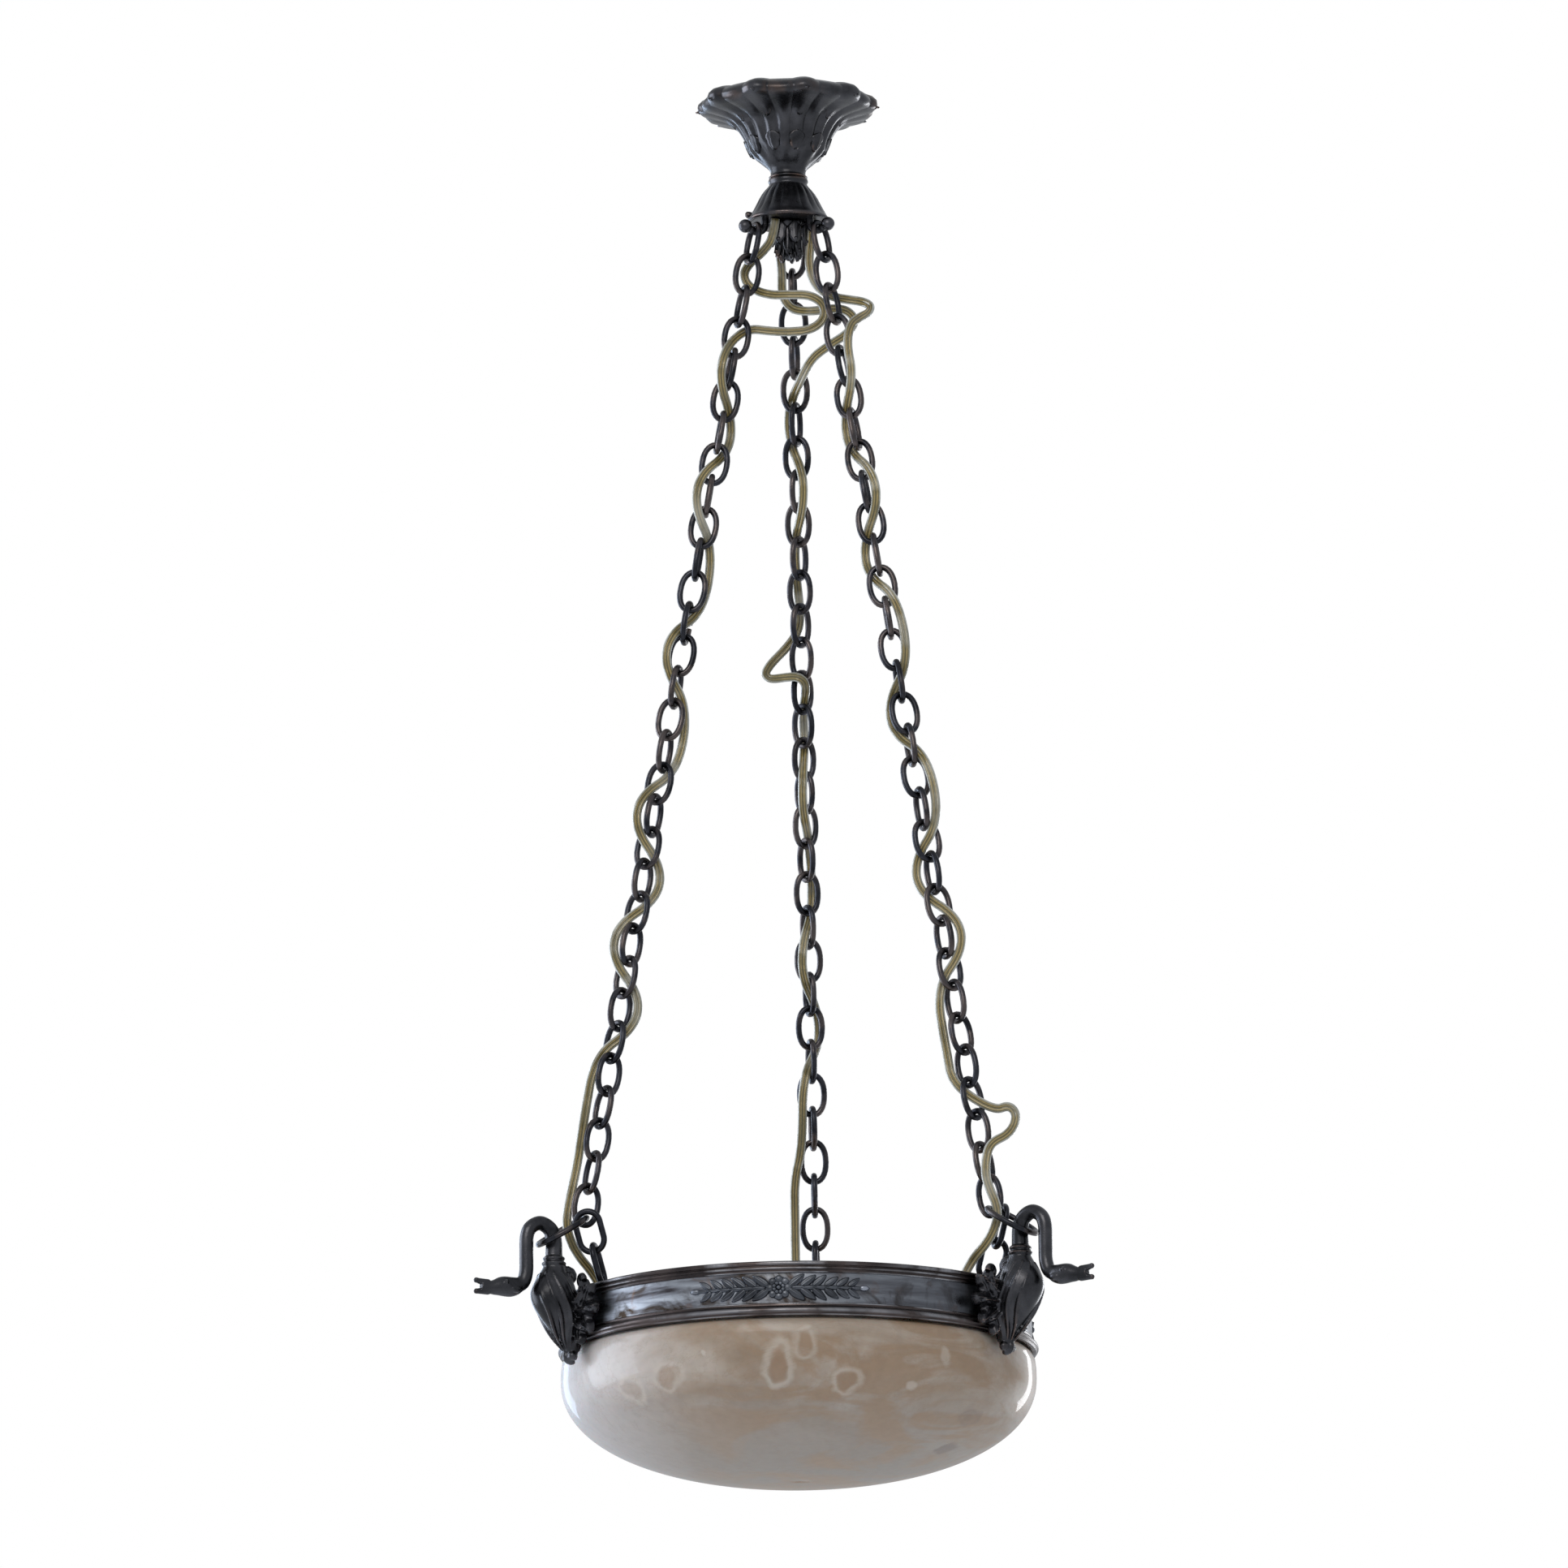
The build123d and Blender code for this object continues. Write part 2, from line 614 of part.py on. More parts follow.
def alabaster_bowl():
    belly_z = ring_bottom - bowl_belly
    shoulder_z = ring_bottom - seat_clearance
    lip_z = band_top - bowl_lip_drop
    below = bowl_depth - bowl_belly
    inner_shoulder = bowl_radius - bowl_wall - 2.4
    outer_low = Spline(*bowl_curve(bowl_radius, below, belly_z), tangents=[(0, 0, -1), (-1, 0, 0)])
    inner_points = bowl_curve(bowl_radius - bowl_wall, below - bowl_wall, belly_z)
    inner_low = Spline(*inner_points, tangents=[(0, 0, -1), (-1, 0, 0)])
    outer_top = Spline((bowl_radius - 2.2, 0, shoulder_z), (bowl_radius, 0, belly_z),
                       tangents=[(0.35, 0, -1), (0, 0, -1)])
    inner_top = Spline((inner_shoulder, 0, shoulder_z - 3), (bowl_radius - bowl_wall, 0, belly_z),
                       tangents=[(0.35, 0, -1), (0, 0, -1)])
    bottom = Line((0, 0, belly_z - below), (0, 0, belly_z - below + bowl_wall))
    neck = Polyline((inner_shoulder, 0, shoulder_z - 3), (bowl_neck_inner, 0, shoulder_z - 1),
                    (bowl_neck_inner, 0, lip_z), (bowl_neck_outer, 0, lip_z),
                    (bowl_neck_outer, 0, shoulder_z), (bowl_radius - 2.2, 0, shoulder_z))
    bowl = turned(make_face([outer_low, outer_top, neck, inner_top, inner_low, bottom]))
    for angle in arm_angles.values():
        bowl -= at_arm(stud_bore(0.5), angle)
    return bowl


# -------------------------------------------------------------------- lighting
def lamp_bracket():
    """A steel strip clamped by the stud's nut, with the lampholder on its foot."""
    top = face_middle + 8
    middle_x = (bracket_inner + bracket_outer) / 2
    strip = Pos(middle_x, 0, top - (bracket_drop + 12) / 2) * Box(
        bracket_thickness, bracket_width, bracket_drop + 12)
    strip -= rod(stud_radius + 0.1, (bracket_inner - 5, 0, face_middle),
                 (bracket_outer + 5, 0, face_middle))
    for y in (-holder_screw_side, holder_screw_side):
        strip -= rod(holder_screw_radius + thread_clearance, (bracket_inner - 5, y, lamp_z),
                     (bracket_outer + 5, y, lamp_z))
    return strip


def lampholder():
    """A plastic lampholder whose mouth points at the bowl's axis."""
    body = rod(holder_radius, (holder_mouth, 0, lamp_z), (bracket_inner, 0, lamp_z))
    skirt = rod(holder_radius + 1.5, (holder_mouth, 0, lamp_z), (holder_mouth + 8, 0, lamp_z))
    bore_end = holder_mouth + cap_length + 2
    bore = rod(cap_radius + moving_clearance, (holder_mouth - 1, 0, lamp_z), (bore_end, 0, lamp_z))
    shape = body + skirt - bore
    for y in (-holder_screw_side, holder_screw_side):
        shape -= rod(holder_screw_radius + thread_clearance, (bracket_inner - 6, y, lamp_z),
                     (bracket_inner + 1, y, lamp_z))
    return shape


def holder_screws():
    """Two screws that fix a lampholder to its bracket."""
    screws = []
    for y in (-holder_screw_side, holder_screw_side):
        head = rod(screw_head_radius, (bracket_outer, y, lamp_z),
                   (bracket_outer + screw_head_height, y, lamp_z))
        shank = rod(holder_screw_radius, (bracket_inner - 5, y, lamp_z),
                    (bracket_outer + 0.5, y, lamp_z))
        screws.append(head + shank)
    return screws


def bulb_cap():
    """The metal screw cap of a bulb."""
    barrel = rod(cap_radius, (holder_mouth + 0.5, 0, lamp_z), (holder_mouth + cap_length - 4, 0, lamp_z))
    contact = rod(3, (holder_mouth + cap_length - 4.5, 0, lamp_z),
                  (holder_mouth + cap_length - 1, 0, lamp_z))
    return barrel + contact


def bulb_glass():
    """The round glass of a bulb, with its neck at the cap."""
    centre = holder_mouth - bulb_neck - bulb_radius + 5
    globe = Pos(centre, 0, lamp_z) * Sphere(bulb_radius)
    neck = rod(cap_radius + 3, (centre + bulb_radius - 5, 0, lamp_z), (holder_mouth - 2, 0, lamp_z))
    collar = rod(cap_radius, (holder_mouth - 3, 0, lamp_z), (holder_mouth + 0.5, 0, lamp_z))
    return globe + neck + collar


# ------------------------------------------------------------------- write out
out(ceiling_plate(), "ceiling_plate")
out(ceiling_hook(), "ceiling_hook")
out(suspension_ring(), "suspension_ring")
out(rod_eye(), "rod_eye")
out(centre_rod(), "centre_rod")
out(canopy(), "canopy")
out(hub_crown(), "hub_crown")
out(hub_plate(), "hub_plate")
out(connector_block(), "connector_block")
out(finial(), "finial")
out(ring_band(), "ring_band")
out(top_moulding(), "top_moulding")
out(low_moulding(), "low_moulding")
out(alabaster_bowl(), "alabaster_bowl")

for name, angle in arm_angles.items():
    out(at_arm(hub_hook(), angle), "hub_hook_" + name)
    out(chain_links(name), "chain_links_" + name)
    out(cord(name), "cord_" + name)
    out(at_arm(swan(), angle), "swan_" + name)
    out(at_arm(neck_ring(), angle), "neck_ring_" + name)
    out(at_arm(lamp_bracket(), angle), "lamp_bracket_" + name)
    out(at_arm(lampholder(), angle), "lampholder_" + name)
    out(at_arm(bulb_cap(), angle), "bulb_cap_" + name)
    out(at_arm(bulb_glass(), angle), "bulb_glass_" + name)

for name, angle in garland_angles.items():
    out(at_arm(garland(), angle), "garland_" + name)

studs = [at_arm(swan_stud(), angle) for angle in arm_angles.values()]
out(Compound(children=studs), "swan_studs")
nuts = [at_arm(stud_nut(), angle) for angle in arm_angles.values()]
out(Compound(children=nuts), "stud_nuts")
screws = [at_arm(screw, angle) for angle in arm_angles.values() for screw in holder_screws()]
out(Compound(children=screws), "holder_screws")
for name, side in (("left", 1), ("right", 1)):
    links = [at_arm(link, arm_angles[name]) for link in spare_links(side)]
    out(Compound(children=links), "spare_links_" + name)
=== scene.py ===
import json
import math
import random

import bmesh
import bpy
from mathutils import Matrix, Quaternion, Vector


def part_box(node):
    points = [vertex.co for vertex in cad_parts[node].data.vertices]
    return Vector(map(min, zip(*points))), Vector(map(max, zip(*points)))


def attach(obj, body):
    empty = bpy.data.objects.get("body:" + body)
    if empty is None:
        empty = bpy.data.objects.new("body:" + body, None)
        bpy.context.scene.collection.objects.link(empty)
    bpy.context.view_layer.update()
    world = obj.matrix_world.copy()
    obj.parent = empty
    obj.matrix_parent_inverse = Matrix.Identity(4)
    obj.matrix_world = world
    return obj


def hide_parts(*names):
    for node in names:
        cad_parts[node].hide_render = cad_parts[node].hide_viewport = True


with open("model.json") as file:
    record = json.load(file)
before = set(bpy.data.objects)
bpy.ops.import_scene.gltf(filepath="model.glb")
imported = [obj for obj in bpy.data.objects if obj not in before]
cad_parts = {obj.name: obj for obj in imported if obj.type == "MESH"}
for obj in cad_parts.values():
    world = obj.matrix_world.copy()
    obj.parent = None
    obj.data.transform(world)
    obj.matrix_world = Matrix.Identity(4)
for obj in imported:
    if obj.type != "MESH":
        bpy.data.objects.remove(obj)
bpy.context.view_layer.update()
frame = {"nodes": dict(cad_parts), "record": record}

# Lengths below are in millimetres in the part's own frame, unless a name ends in _m.
MM = 0.001
arm_angles = {"left": 210.0, "right": 330.0, "back": 90.0}
garland_angles = {"front": 270.0, "right_rear": 30.0, "left_rear": 150.0}
twist_sign = {"left": 1, "right": -1, "back": 1}

band_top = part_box("top_moulding")[1].z / MM
rng = random.Random(7)


# ---------------------------------------------------------------- camera
view_azimuth = math.radians(4.65)
view_elevation = math.radians(-12.3)
view_roll = math.radians(-0.5)
view_distance_m = 9.05
view_target_m = Vector((0.0, 0.0, -0.4705))
view_slide_m = -0.0062
focal_mm = 317.2
toward_viewer = Vector((math.sin(view_azimuth), -math.cos(view_azimuth), math.sin(view_elevation)))


def make_camera():
    """The photograph's view: from below, a little to the right, through a long lens."""
    ca, sa = math.cos(view_azimuth), math.sin(view_azimuth)
    ce, se = math.cos(view_elevation), math.sin(view_elevation)
    back = Vector((sa * ce, -ca * ce, se))
    right = Vector((ca, sa, 0))
    up = back.cross(right)
    level_right = right * math.cos(view_roll) + up * math.sin(view_roll)
    level_up = back.cross(level_right)
    data = bpy.data.cameras.new("camera")
    camera = bpy.data.objects.new("camera", data)
    bpy.context.scene.collection.objects.link(camera)
    place = view_target_m + back * view_distance_m + level_right * view_slide_m
    turn = Matrix((level_right, level_up, back)).transposed()
    camera.matrix_world = Matrix.Translation(place) @ turn.to_4x4()
    data.lens = focal_mm
    data.clip_end = 100
    bpy.context.scene.camera = camera


make_camera()


# ------------------------------------------------------------- mesh helpers
def circle(count):
    """Evenly spaced angles of a full turn."""
    return [2 * math.pi * k / count for k in range(count)]


def signed_power(value, power):
    """A power that keeps the sign: below 1 it squares off a circle's sine and cosine."""
    return math.copysign(abs(value) ** power, value)


def at_arm(angle):
    """The turn that takes a shape built along +X to an arm's place."""
    return Matrix.Rotation(math.radians(angle), 4, "Z")


def skin(rows, close=False):
    """Points and faces over rows of points, each row a closed loop."""
    count = len(rows[0])
    faces = []
    for i in range(len(rows) if close else len(rows) - 1):
        for j in range(count):
            k = (j + 1) % count
            m = (i + 1) % len(rows)
            faces.append((i * count + j, i * count + k, m * count + k, m * count + j))
    if not close:
        faces.append(tuple(reversed(range(count))))
        faces.append(tuple(range((len(rows) - 1) * count, len(rows) * count)))
    return [Vector(p) for row in rows for p in row], faces


def moved(part, matrix):
    """A part's points taken through a matrix."""
    points, faces = part
    return [matrix @ p for p in points], faces


def lathe(profile, segments=192, shape=None):
    """A closed profile of (radius, height) turned about Z; shape(r, z, angle) may change it."""
    rows = []
    for a in circle(segments):
        row = []
        for r, z in profile:
            if shape:
                r, z = shape(r, z, a)
            row.append((r * math.cos(a), r * math.sin(a), z))
        rows.append(row)
    return skin(rows, close=True)


def tube(path, radii, sides=12, close=False):
    """A round skin along a path; radii is one number or one for each point."""
    path = [Vector(p) for p in path]
    count = len(path)
    if not isinstance(radii, (list, tuple)):
        radii = [radii] * count
    rows = []
    normal = None
    for i, here in enumerate(path):
        if close:
            along = path[(i + 1) % count] - path[i - 1]
        else:
            along = path[min(i + 1, count - 1)] - path[max(i - 1, 0)]
        along.normalize()
        if normal is None:
            normal = along.orthogonal()
        normal = (normal - along * normal.dot(along)).normalized()
        side = along.cross(normal)
        rows.append([here + (normal * math.cos(a) + side * math.sin(a)) * radii[i]
                     for a in circle(sides)])
    return skin(rows, close=close)


def ball(centre, radius, sides=14):
    """A closed round lump; radius is a number or three half sizes."""
    size = Vector((radius,) * 3 if isinstance(radius, (int, float)) else radius)
    rows = []
    for i in range(1, sides):
        a = math.pi * i / sides
        rows.append([Vector(centre) + Vector((size.x * math.sin(a) * math.cos(b),
                                              size.y * math.sin(a) * math.sin(b),
                                              size.z * math.cos(a)))
                     for b in circle(2 * sides)])
    return skin(rows)


def smooth_path(points, steps=6):
    """Points on a Catmull-Rom curve through the given ones."""
    points = [Vector(p) for p in points]
    ends = [points[0] * 2 - points[1]] + points + [points[-1] * 2 - points[-2]]
    result = []
    for a, b, c, d in zip(ends, ends[1:], ends[2:], ends[3:]):
        for k in range(steps):
            t = k / steps
            result.append((b * 2 + (c - a) * t + (a * 2 - b * 5 + c * 4 - d) * t**2
                           + (b * 3 - a - c * 3 + d) * t**3) * 0.5)
    return result + [points[-1]]


leaf_sweep, leaf_sink = 0.12, 0.4
least_half_leaf, whole_tip_from = 0.25, 0.92


def leaf(place, length, width, lobes=3, cut=0.3, thick=1.2, arch=1.0, curl=0.0, rows=20, cols=8):
    """A lobed leaf; place(along, across, lift) lays a point on what carries the leaf.

    cut is the notches' share of the width, arch the height of the middle and the ribs,
    and curl the lift of the tip.
    """
    loops = []
    for i in range(rows + 1):
        t = i / rows
        outline = math.sin(math.pi * min(1, 0.06 + 0.93 * t ** 0.8)) ** 0.65
        notch = 1
        if t < whole_tip_from:
            notch = 1 - cut * (1 - abs(math.sin(math.pi * lobes * t)))
        half = max(least_half_leaf, width / 2 * outline * notch)
        top, under = [], []
        for j in range(cols + 1):
            v = -1 + 2 * j / cols
            rib = 0.35 * arch * math.cos(3 * math.pi * v) + 0.5 * arch * max(0, 1 - abs(6 * v))
            lift = thick * (1 - 0.5 * v * v) + arch * (1 - v * v) + rib + curl * t**3
            along = t * length + leaf_sweep * length * abs(v) * t
            top.append(place(along, v * half, lift))
            under.append(place(along, v * half, curl * t**3 - leaf_sink))
        loops.append(top + under[::-1])
    return skin(loops)


def make(name, parts, slot, body, node, material=None, remesh=0.0, smoothing=0):
    """One piece from closed parts in millimetres, in place of a CAD node.

    The material is the slot's unless one is named; remesh is a voxel's size, and smoothing
    counts the rounds of softening after it.
    """
    points, faces = [], []
    for part_points, part_faces in parts:
        start = len(points)
        points += [Vector(p) * MM for p in part_points]
        faces += [tuple(start + i for i in face) for face in part_faces]
    mesh = bpy.data.meshes.new(name)
    mesh.from_pydata(points, [], faces)
    work = bmesh.new()
    work.from_mesh(mesh)
    bmesh.ops.recalc_face_normals(work, faces=work.faces)
    work.to_mesh(mesh)
    work.free()
    piece = bpy.data.objects.new(name, mesh)
    bpy.context.scene.collection.objects.link(piece)
    if remesh:
        modifier = piece.modifiers.new("fuse", "REMESH")
        modifier.mode = "VOXEL"
        modifier.voxel_size = remesh * MM
        if smoothing:
            soften = piece.modifiers.new("soften", "SMOOTH")
            soften.iterations = smoothing
            soften.factor = 0.5
        bpy.context.view_layer.update()
        graph = bpy.context.evaluated_depsgraph_get()
        mesh = bpy.data.meshes.new_from_object(piece.evaluated_get(graph))
        piece.modifiers.clear()
        piece.data = mesh
    for face in mesh.polygons:
        face.use_smooth = True
    mesh.materials.clear()
    mesh.materials.append(materials[material or slot])
    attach(piece, body)
    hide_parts(node)
    return piece


# ---------------------------------------------------------------- materials
class Paint:
    """A node material whose nodes are added one by one."""

    def __init__(self, name, **shader):
        self.material = bpy.data.materials.new(name)
        self.material.use_nodes = True
        self.tree = self.material.node_tree
        self.shader = self.tree.nodes["Principled BSDF"]
        for key, value in shader.items():
            self.shader.inputs[key.replace("_", " ")].default_value = value
        self.place = self.add("ShaderNodeTexCoord").outputs["Object"]

    def add(self, kind, **settings):
        node = self.tree.nodes.new(kind)
        for key, value in settings.items():
            setattr(node, key, value)
        return node

    def link(self, source, target):
        self.tree.links.new(source, target)

    def noise(self, scale, detail=5.0, distortion=0.0, stretch=None, rough=0.55):
        node = self.add("ShaderNodeTexNoise")
        node.inputs["Scale"].default_value = scale
        node.inputs["Detail"].default_value = detail
        node.inputs["Roughness"].default_value = rough
        node.inputs["Distortion"].default_value = distortion
        place = self.place
        if stretch:
            mapping = self.add("ShaderNodeMapping")
            mapping.inputs["Scale"].default_value = stretch
            self.link(self.place, mapping.inputs["Vector"])
            place = mapping.outputs["Vector"]
        self.link(place, node.inputs["Vector"])
        return node.outputs["Fac"]

    def ramp(self, source, stops):
        """stops: (position, colour or grey) pairs."""
        node = self.add("ShaderNodeValToRGB")
        elements = node.color_ramp.elements
        while len(elements) < len(stops):
            elements.new(0.5)
        for element, (spot, colour) in zip(elements, stops):
            element.position = spot
            if isinstance(colour, (int, float)):
                colour = (colour,) * 3
            element.color = (*colour, 1)
        self.link(source, node.inputs["Fac"])
        return node.outputs["Color"]

    def mix(self, factor, a, b, kind="MIX"):
        """Colour a turned to colour b by a factor; each is a socket or a constant."""
        node = self.add("ShaderNodeMix", data_type="RGBA", blend_type=kind)
        for socket, value in ((node.inputs[0], factor), (node.inputs[6], a), (node.inputs[7], b)):
            if isinstance(value, (int, float)):
                socket.default_value = value
            elif isinstance(value, tuple):
                socket.default_value = (*value, 1)
            else:
                self.link(value, socket)
        return node.outputs[2]

    def maths(self, a, b, kind="MULTIPLY"):
        """One sum on two sockets or numbers."""
        node = self.add("ShaderNodeMath", operation=kind)
        for socket, value in zip(node.inputs, (a, b)):
            if isinstance(value, (int, float)):
                socket.default_value = value
            else:
                self.link(value, socket)
        return node.outputs[0]

    def edges(self, low=0.52, high=0.58):
        """White on outer edges, for wear."""
        geometry = self.add("ShaderNodeNewGeometry")
        return self.ramp(geometry.outputs["Pointiness"], [(low, 0.0), (high, 1.0)])

    def along(self, axis, shift_m, stops):
        """A ramp along one axis of the part, shifted so that the part lies in 0 to 1."""
        split = self.add("ShaderNodeSeparateXYZ")
        self.link(self.place, split.inputs[0])
        return self.ramp(self.maths(split.outputs[axis], shift_m, "ADD"), stops)

    def bump(self, source, strength, distance_m):
        node = self.add("ShaderNodeBump")
        node.inputs["Strength"].default_value = strength
        node.inputs["Distance"].default_value = distance_m
        self.link(source, node.inputs["Height"])
        self.link(node.outputs["Normal"], self.shader.inputs["Normal"])

    def finish(self, colour=None, roughness=None):
        if colour:
            self.link(colour, self.shader.inputs["Base Color"])
        if roughness:
            self.link(roughness, self.shader.inputs["Roughness"])
        return self.material


def metal(name, dark, light, rub, scale=45, rough=(0.3, 0.55), grain=0.3, metallic=1.0, coat=0.0):
    """Patinated metal: cloudy colour, rubbed outer edges, fine cast grain."""
    paint = Paint(name, Metallic=metallic, Coat_Weight=coat, Coat_Roughness=0.25)
    clouds = paint.noise(scale, 6, 0.6)
    colour = paint.ramp(clouds, [(0.35, dark), (0.65, light)])
    patches = paint.ramp(paint.noise(scale * 0.6, 4, 1.0), [(0.45, 0.0), (0.62, 1.0)])
    worn = paint.maths(paint.edges(), patches)
    colour = paint.mix(worn, colour, rub)
    roughness = paint.ramp(paint.noise(scale * 2.2, 4), [(0.3, rough[0]), (0.7, rough[1])])
    paint.bump(paint.noise(900, 3), grain, 0.0003)
    return paint.finish(colour, roughness)


side_shift_m, height_shift_m = 0.5, 1.4


def silvered(name):
    """The band's face: silver worn to blue-grey, streaked round, with dark smudges."""
    paint = Paint(name, Metallic=1.0)
    streaks = paint.noise(22, 8, 0.4, stretch=(1, 1, 9))
    colour = paint.ramp(streaks, [(0.30, (0.06, 0.055, 0.06)), (0.45, (0.23, 0.24, 0.27)),
                                  (0.60, (0.42, 0.45, 0.50)), (0.8, (0.62, 0.64, 0.68))])
    smudge = paint.ramp(paint.noise(30, 7, 1.6), [(0.50, 0.0), (0.64, 1.0)])
    colour = paint.mix(smudge, colour, (0.05, 0.035, 0.025))
    rust = paint.ramp(paint.noise(70, 5, 0.8), [(0.60, 0.0), (0.74, 0.6)])
    colour = paint.mix(rust, colour, (0.19, 0.10, 0.055))
    # painted shade: the band's face is darkened towards its right side (+X), as if less lit there
    painted_right_shade = paint.along("X", side_shift_m, [(0.46, 0.0), (0.60, 0.7)])
    colour = paint.mix(painted_right_shade, colour, (0.095, 0.10, 0.115))
    roughness = paint.ramp(paint.noise(60, 5), [(0.3, 0.26), (0.7, 0.5)])
    paint.bump(paint.noise(420, 4), 0.25, 0.0003)
    return paint.finish(colour, roughness)


# The stone's spots: place, half sizes, the colour of the outline and its strength,
# then the colour of the heart and its strength.
pale, tan, brown = (0.60, 0.54, 0.47), (0.34, 0.225, 0.145), (0.20, 0.15, 0.125)
stone_spots = [((-1, -150, -884), (8, 10, 17), pale, 0.6, tan, 0.85),
               ((42, -139, -892), (8, 9, 9), pale, 0.5, tan, 0.7),
               ((16, -154, -869), (7, 8, 9), pale, 0.4, tan, 0.3),
               ((-73, -132, -884), (9, 10, 8), pale, 0.4, tan, 0.5),
               ((-98, -110, -890), (9, 9, 9), pale, 0.5, tan, 0.3),
               ((82, -120, -892), (6, 7, 6), pale, 0.0, pale, 0.6),
               ((103, -114, -874), (6, 8, 8), pale, 0.0, pale, 0.45),
               ((-50, -145, -872), (3, 4, 3), pale, 0.0, pale, 0.8),
               ((99, -32, -919), (11, 11, 6), brown, 0.0, brown, 0.7),
               ((115, -64, -905), (7, 9, 6), brown, 0.35, brown, 0.35)]
spot_wobble_m = 0.014


def alabaster(name):
    """Polished stone: grey-beige with tan clouds, pale rings and fine veins."""
    paint = Paint(name, Roughness=0.42, Coat_Weight=0.32, Coat_Roughness=0.05,
                  Subsurface_Weight=0.25, Subsurface_Scale=0.006)
    clouds = paint.noise(11, 5, 0.9, stretch=(1, 1, 2.2))
    colour = paint.ramp(clouds, [(0.32, (0.33, 0.245, 0.175)), (0.46, (0.41, 0.325, 0.25)),
                                 (0.56, (0.46, 0.385, 0.32)), (0.72, (0.55, 0.49, 0.43))])
    low = paint.along("Z", height_shift_m, [(0.470, 1.0), (0.515, 0.0)])
    colour = paint.mix(low, colour, (0.30, 0.255, 0.215))
    warm = paint.ramp(paint.noise(10, 6, 1.8, stretch=(1, 1, 3)), [(0.46, 0.0), (0.58, 0.8)])
    middle = paint.along("X", side_shift_m, [(0.40, 0.0), (0.49, 1.0)])
    colour = paint.mix(paint.maths(warm, middle), colour, (0.35, 0.235, 0.145))
    # painted light: the stone's left side (-X) is turned a pale bluish white, as if lit from the
    # left
    painted_left_light = paint.along("X", side_shift_m, [(0.36, 0.8), (0.44, 0.0)])
    colour = paint.mix(painted_left_light, colour, (0.60, 0.585, 0.60))
    wobble = paint.add("ShaderNodeTexNoise")
    wobble.inputs["Scale"].default_value = 60
    paint.link(paint.place, wobble.inputs["Vector"])
    shifted = paint.add("ShaderNodeVectorMath", operation="MULTIPLY_ADD")
    paint.link(wobble.outputs["Color"], shifted.inputs[0])
    shifted.inputs[1].default_value = (spot_wobble_m,) * 3
    paint.link(paint.place, shifted.inputs[2])
    for centre, size, rim, rim_strength, heart, heart_strength in stone_spots:
        off = paint.add("ShaderNodeVectorMath", operation="SUBTRACT")
        paint.link(shifted.outputs[0], off.inputs[0])
        off.inputs[1].default_value = [c * MM + spot_wobble_m / 2 for c in centre]
        scaled = paint.add("ShaderNodeVectorMath", operation="DIVIDE")
        paint.link(off.outputs[0], scaled.inputs[0])
        scaled.inputs[1].default_value = [s * MM * 2 for s in size]
        length = paint.add("ShaderNodeVectorMath", operation="LENGTH")
        paint.link(scaled.outputs[0], length.inputs[0])
        outline = paint.ramp(length.outputs["Value"],
                             [(0.34, 0.0), (0.48, rim_strength), (0.54, rim_strength), (0.7, 0.0)])
        inside = paint.ramp(length.outputs["Value"], [(0.28, heart_strength), (0.46, 0.0)])
        colour = paint.mix(outline, colour, rim)
        colour = paint.mix(inside, colour, heart)
    veins = paint.ramp(paint.noise(9, 9, 3.0, rough=0.7),
                       [(0.488, 0.0), (0.5, 0.3), (0.512, 0.0)])
    colour = paint.mix(veins, colour, (0.30, 0.21, 0.14))
    specks = paint.ramp(paint.noise(160, 5), [(0.35, 0.93), (0.6, 1.0)])
    colour = paint.mix(1.0, colour, specks, "MULTIPLY")
    paint.bump(paint.noise(60, 4), 0.12, 0.0006)
    return paint.finish(colour)


def cord_plastic(name):
    """Clear flat cord: two gold cores with a painted highlight on each, painted shade in the
    groove between them and pale edges.
    """
    paint = Paint(name, Roughness=0.2, Coat_Weight=0.8, Coat_Roughness=0.08,
                  Transmission_Weight=0.12, IOR=1.45)
    across = paint.add("ShaderNodeAttribute", attribute_name="across").outputs["Fac"]
    # across the cord: painted shade darkens the middle groove and a painted highlight brightens
    # the gold conductors; the edges are pale clear plastic
    colour = paint.ramp(across, [(0.0, (0.11, 0.09, 0.035)), (0.16, (0.22, 0.18, 0.07)),
                                 (0.30, (0.66, 0.50, 0.21)), (0.44, (0.25, 0.19, 0.065)),
                                 (0.60, (0.16, 0.135, 0.06)), (0.74, (0.42, 0.41, 0.33)),
                                 (0.97, (0.74, 0.78, 0.78))])
    strands = paint.noise(500, 3, 0.5)
    colour = paint.mix(paint.ramp(strands, [(0.4, 0.0), (0.7, 0.35)]), colour, (0.20, 0.165, 0.05))
    shade = paint.ramp(paint.noise(38, 3, 0.6), [(0.40, 0.6), (0.52, 0.0)])
    colour = paint.mix(shade, colour, (0.12, 0.105, 0.045))
    # painted sheen: pale patches spread by noise stand in for light caught on the clear plastic
    painted_sheen = paint.ramp(paint.noise(35, 4), [(0.52, 0.0), (0.66, 0.45)])
    colour = paint.mix(painted_sheen, colour, (0.62, 0.62, 0.56))
    paint.bump(strands, 0.15, 0.0002)
    return paint.finish(colour)


def plastic(name, dark, light, roughness):
    """Moulded plastic, a little cloudy, with a fine grain."""
    paint = Paint(name)
    colour = paint.ramp(paint.noise(60, 5), [(0.3, dark), (0.7, light)])
    rough = paint.ramp(paint.noise(120, 4), [(0.3, roughness), (0.7, roughness + 0.15)])
    paint.bump(paint.noise(700, 3), 0.2, 0.0002)
    return paint.finish(colour, rough)


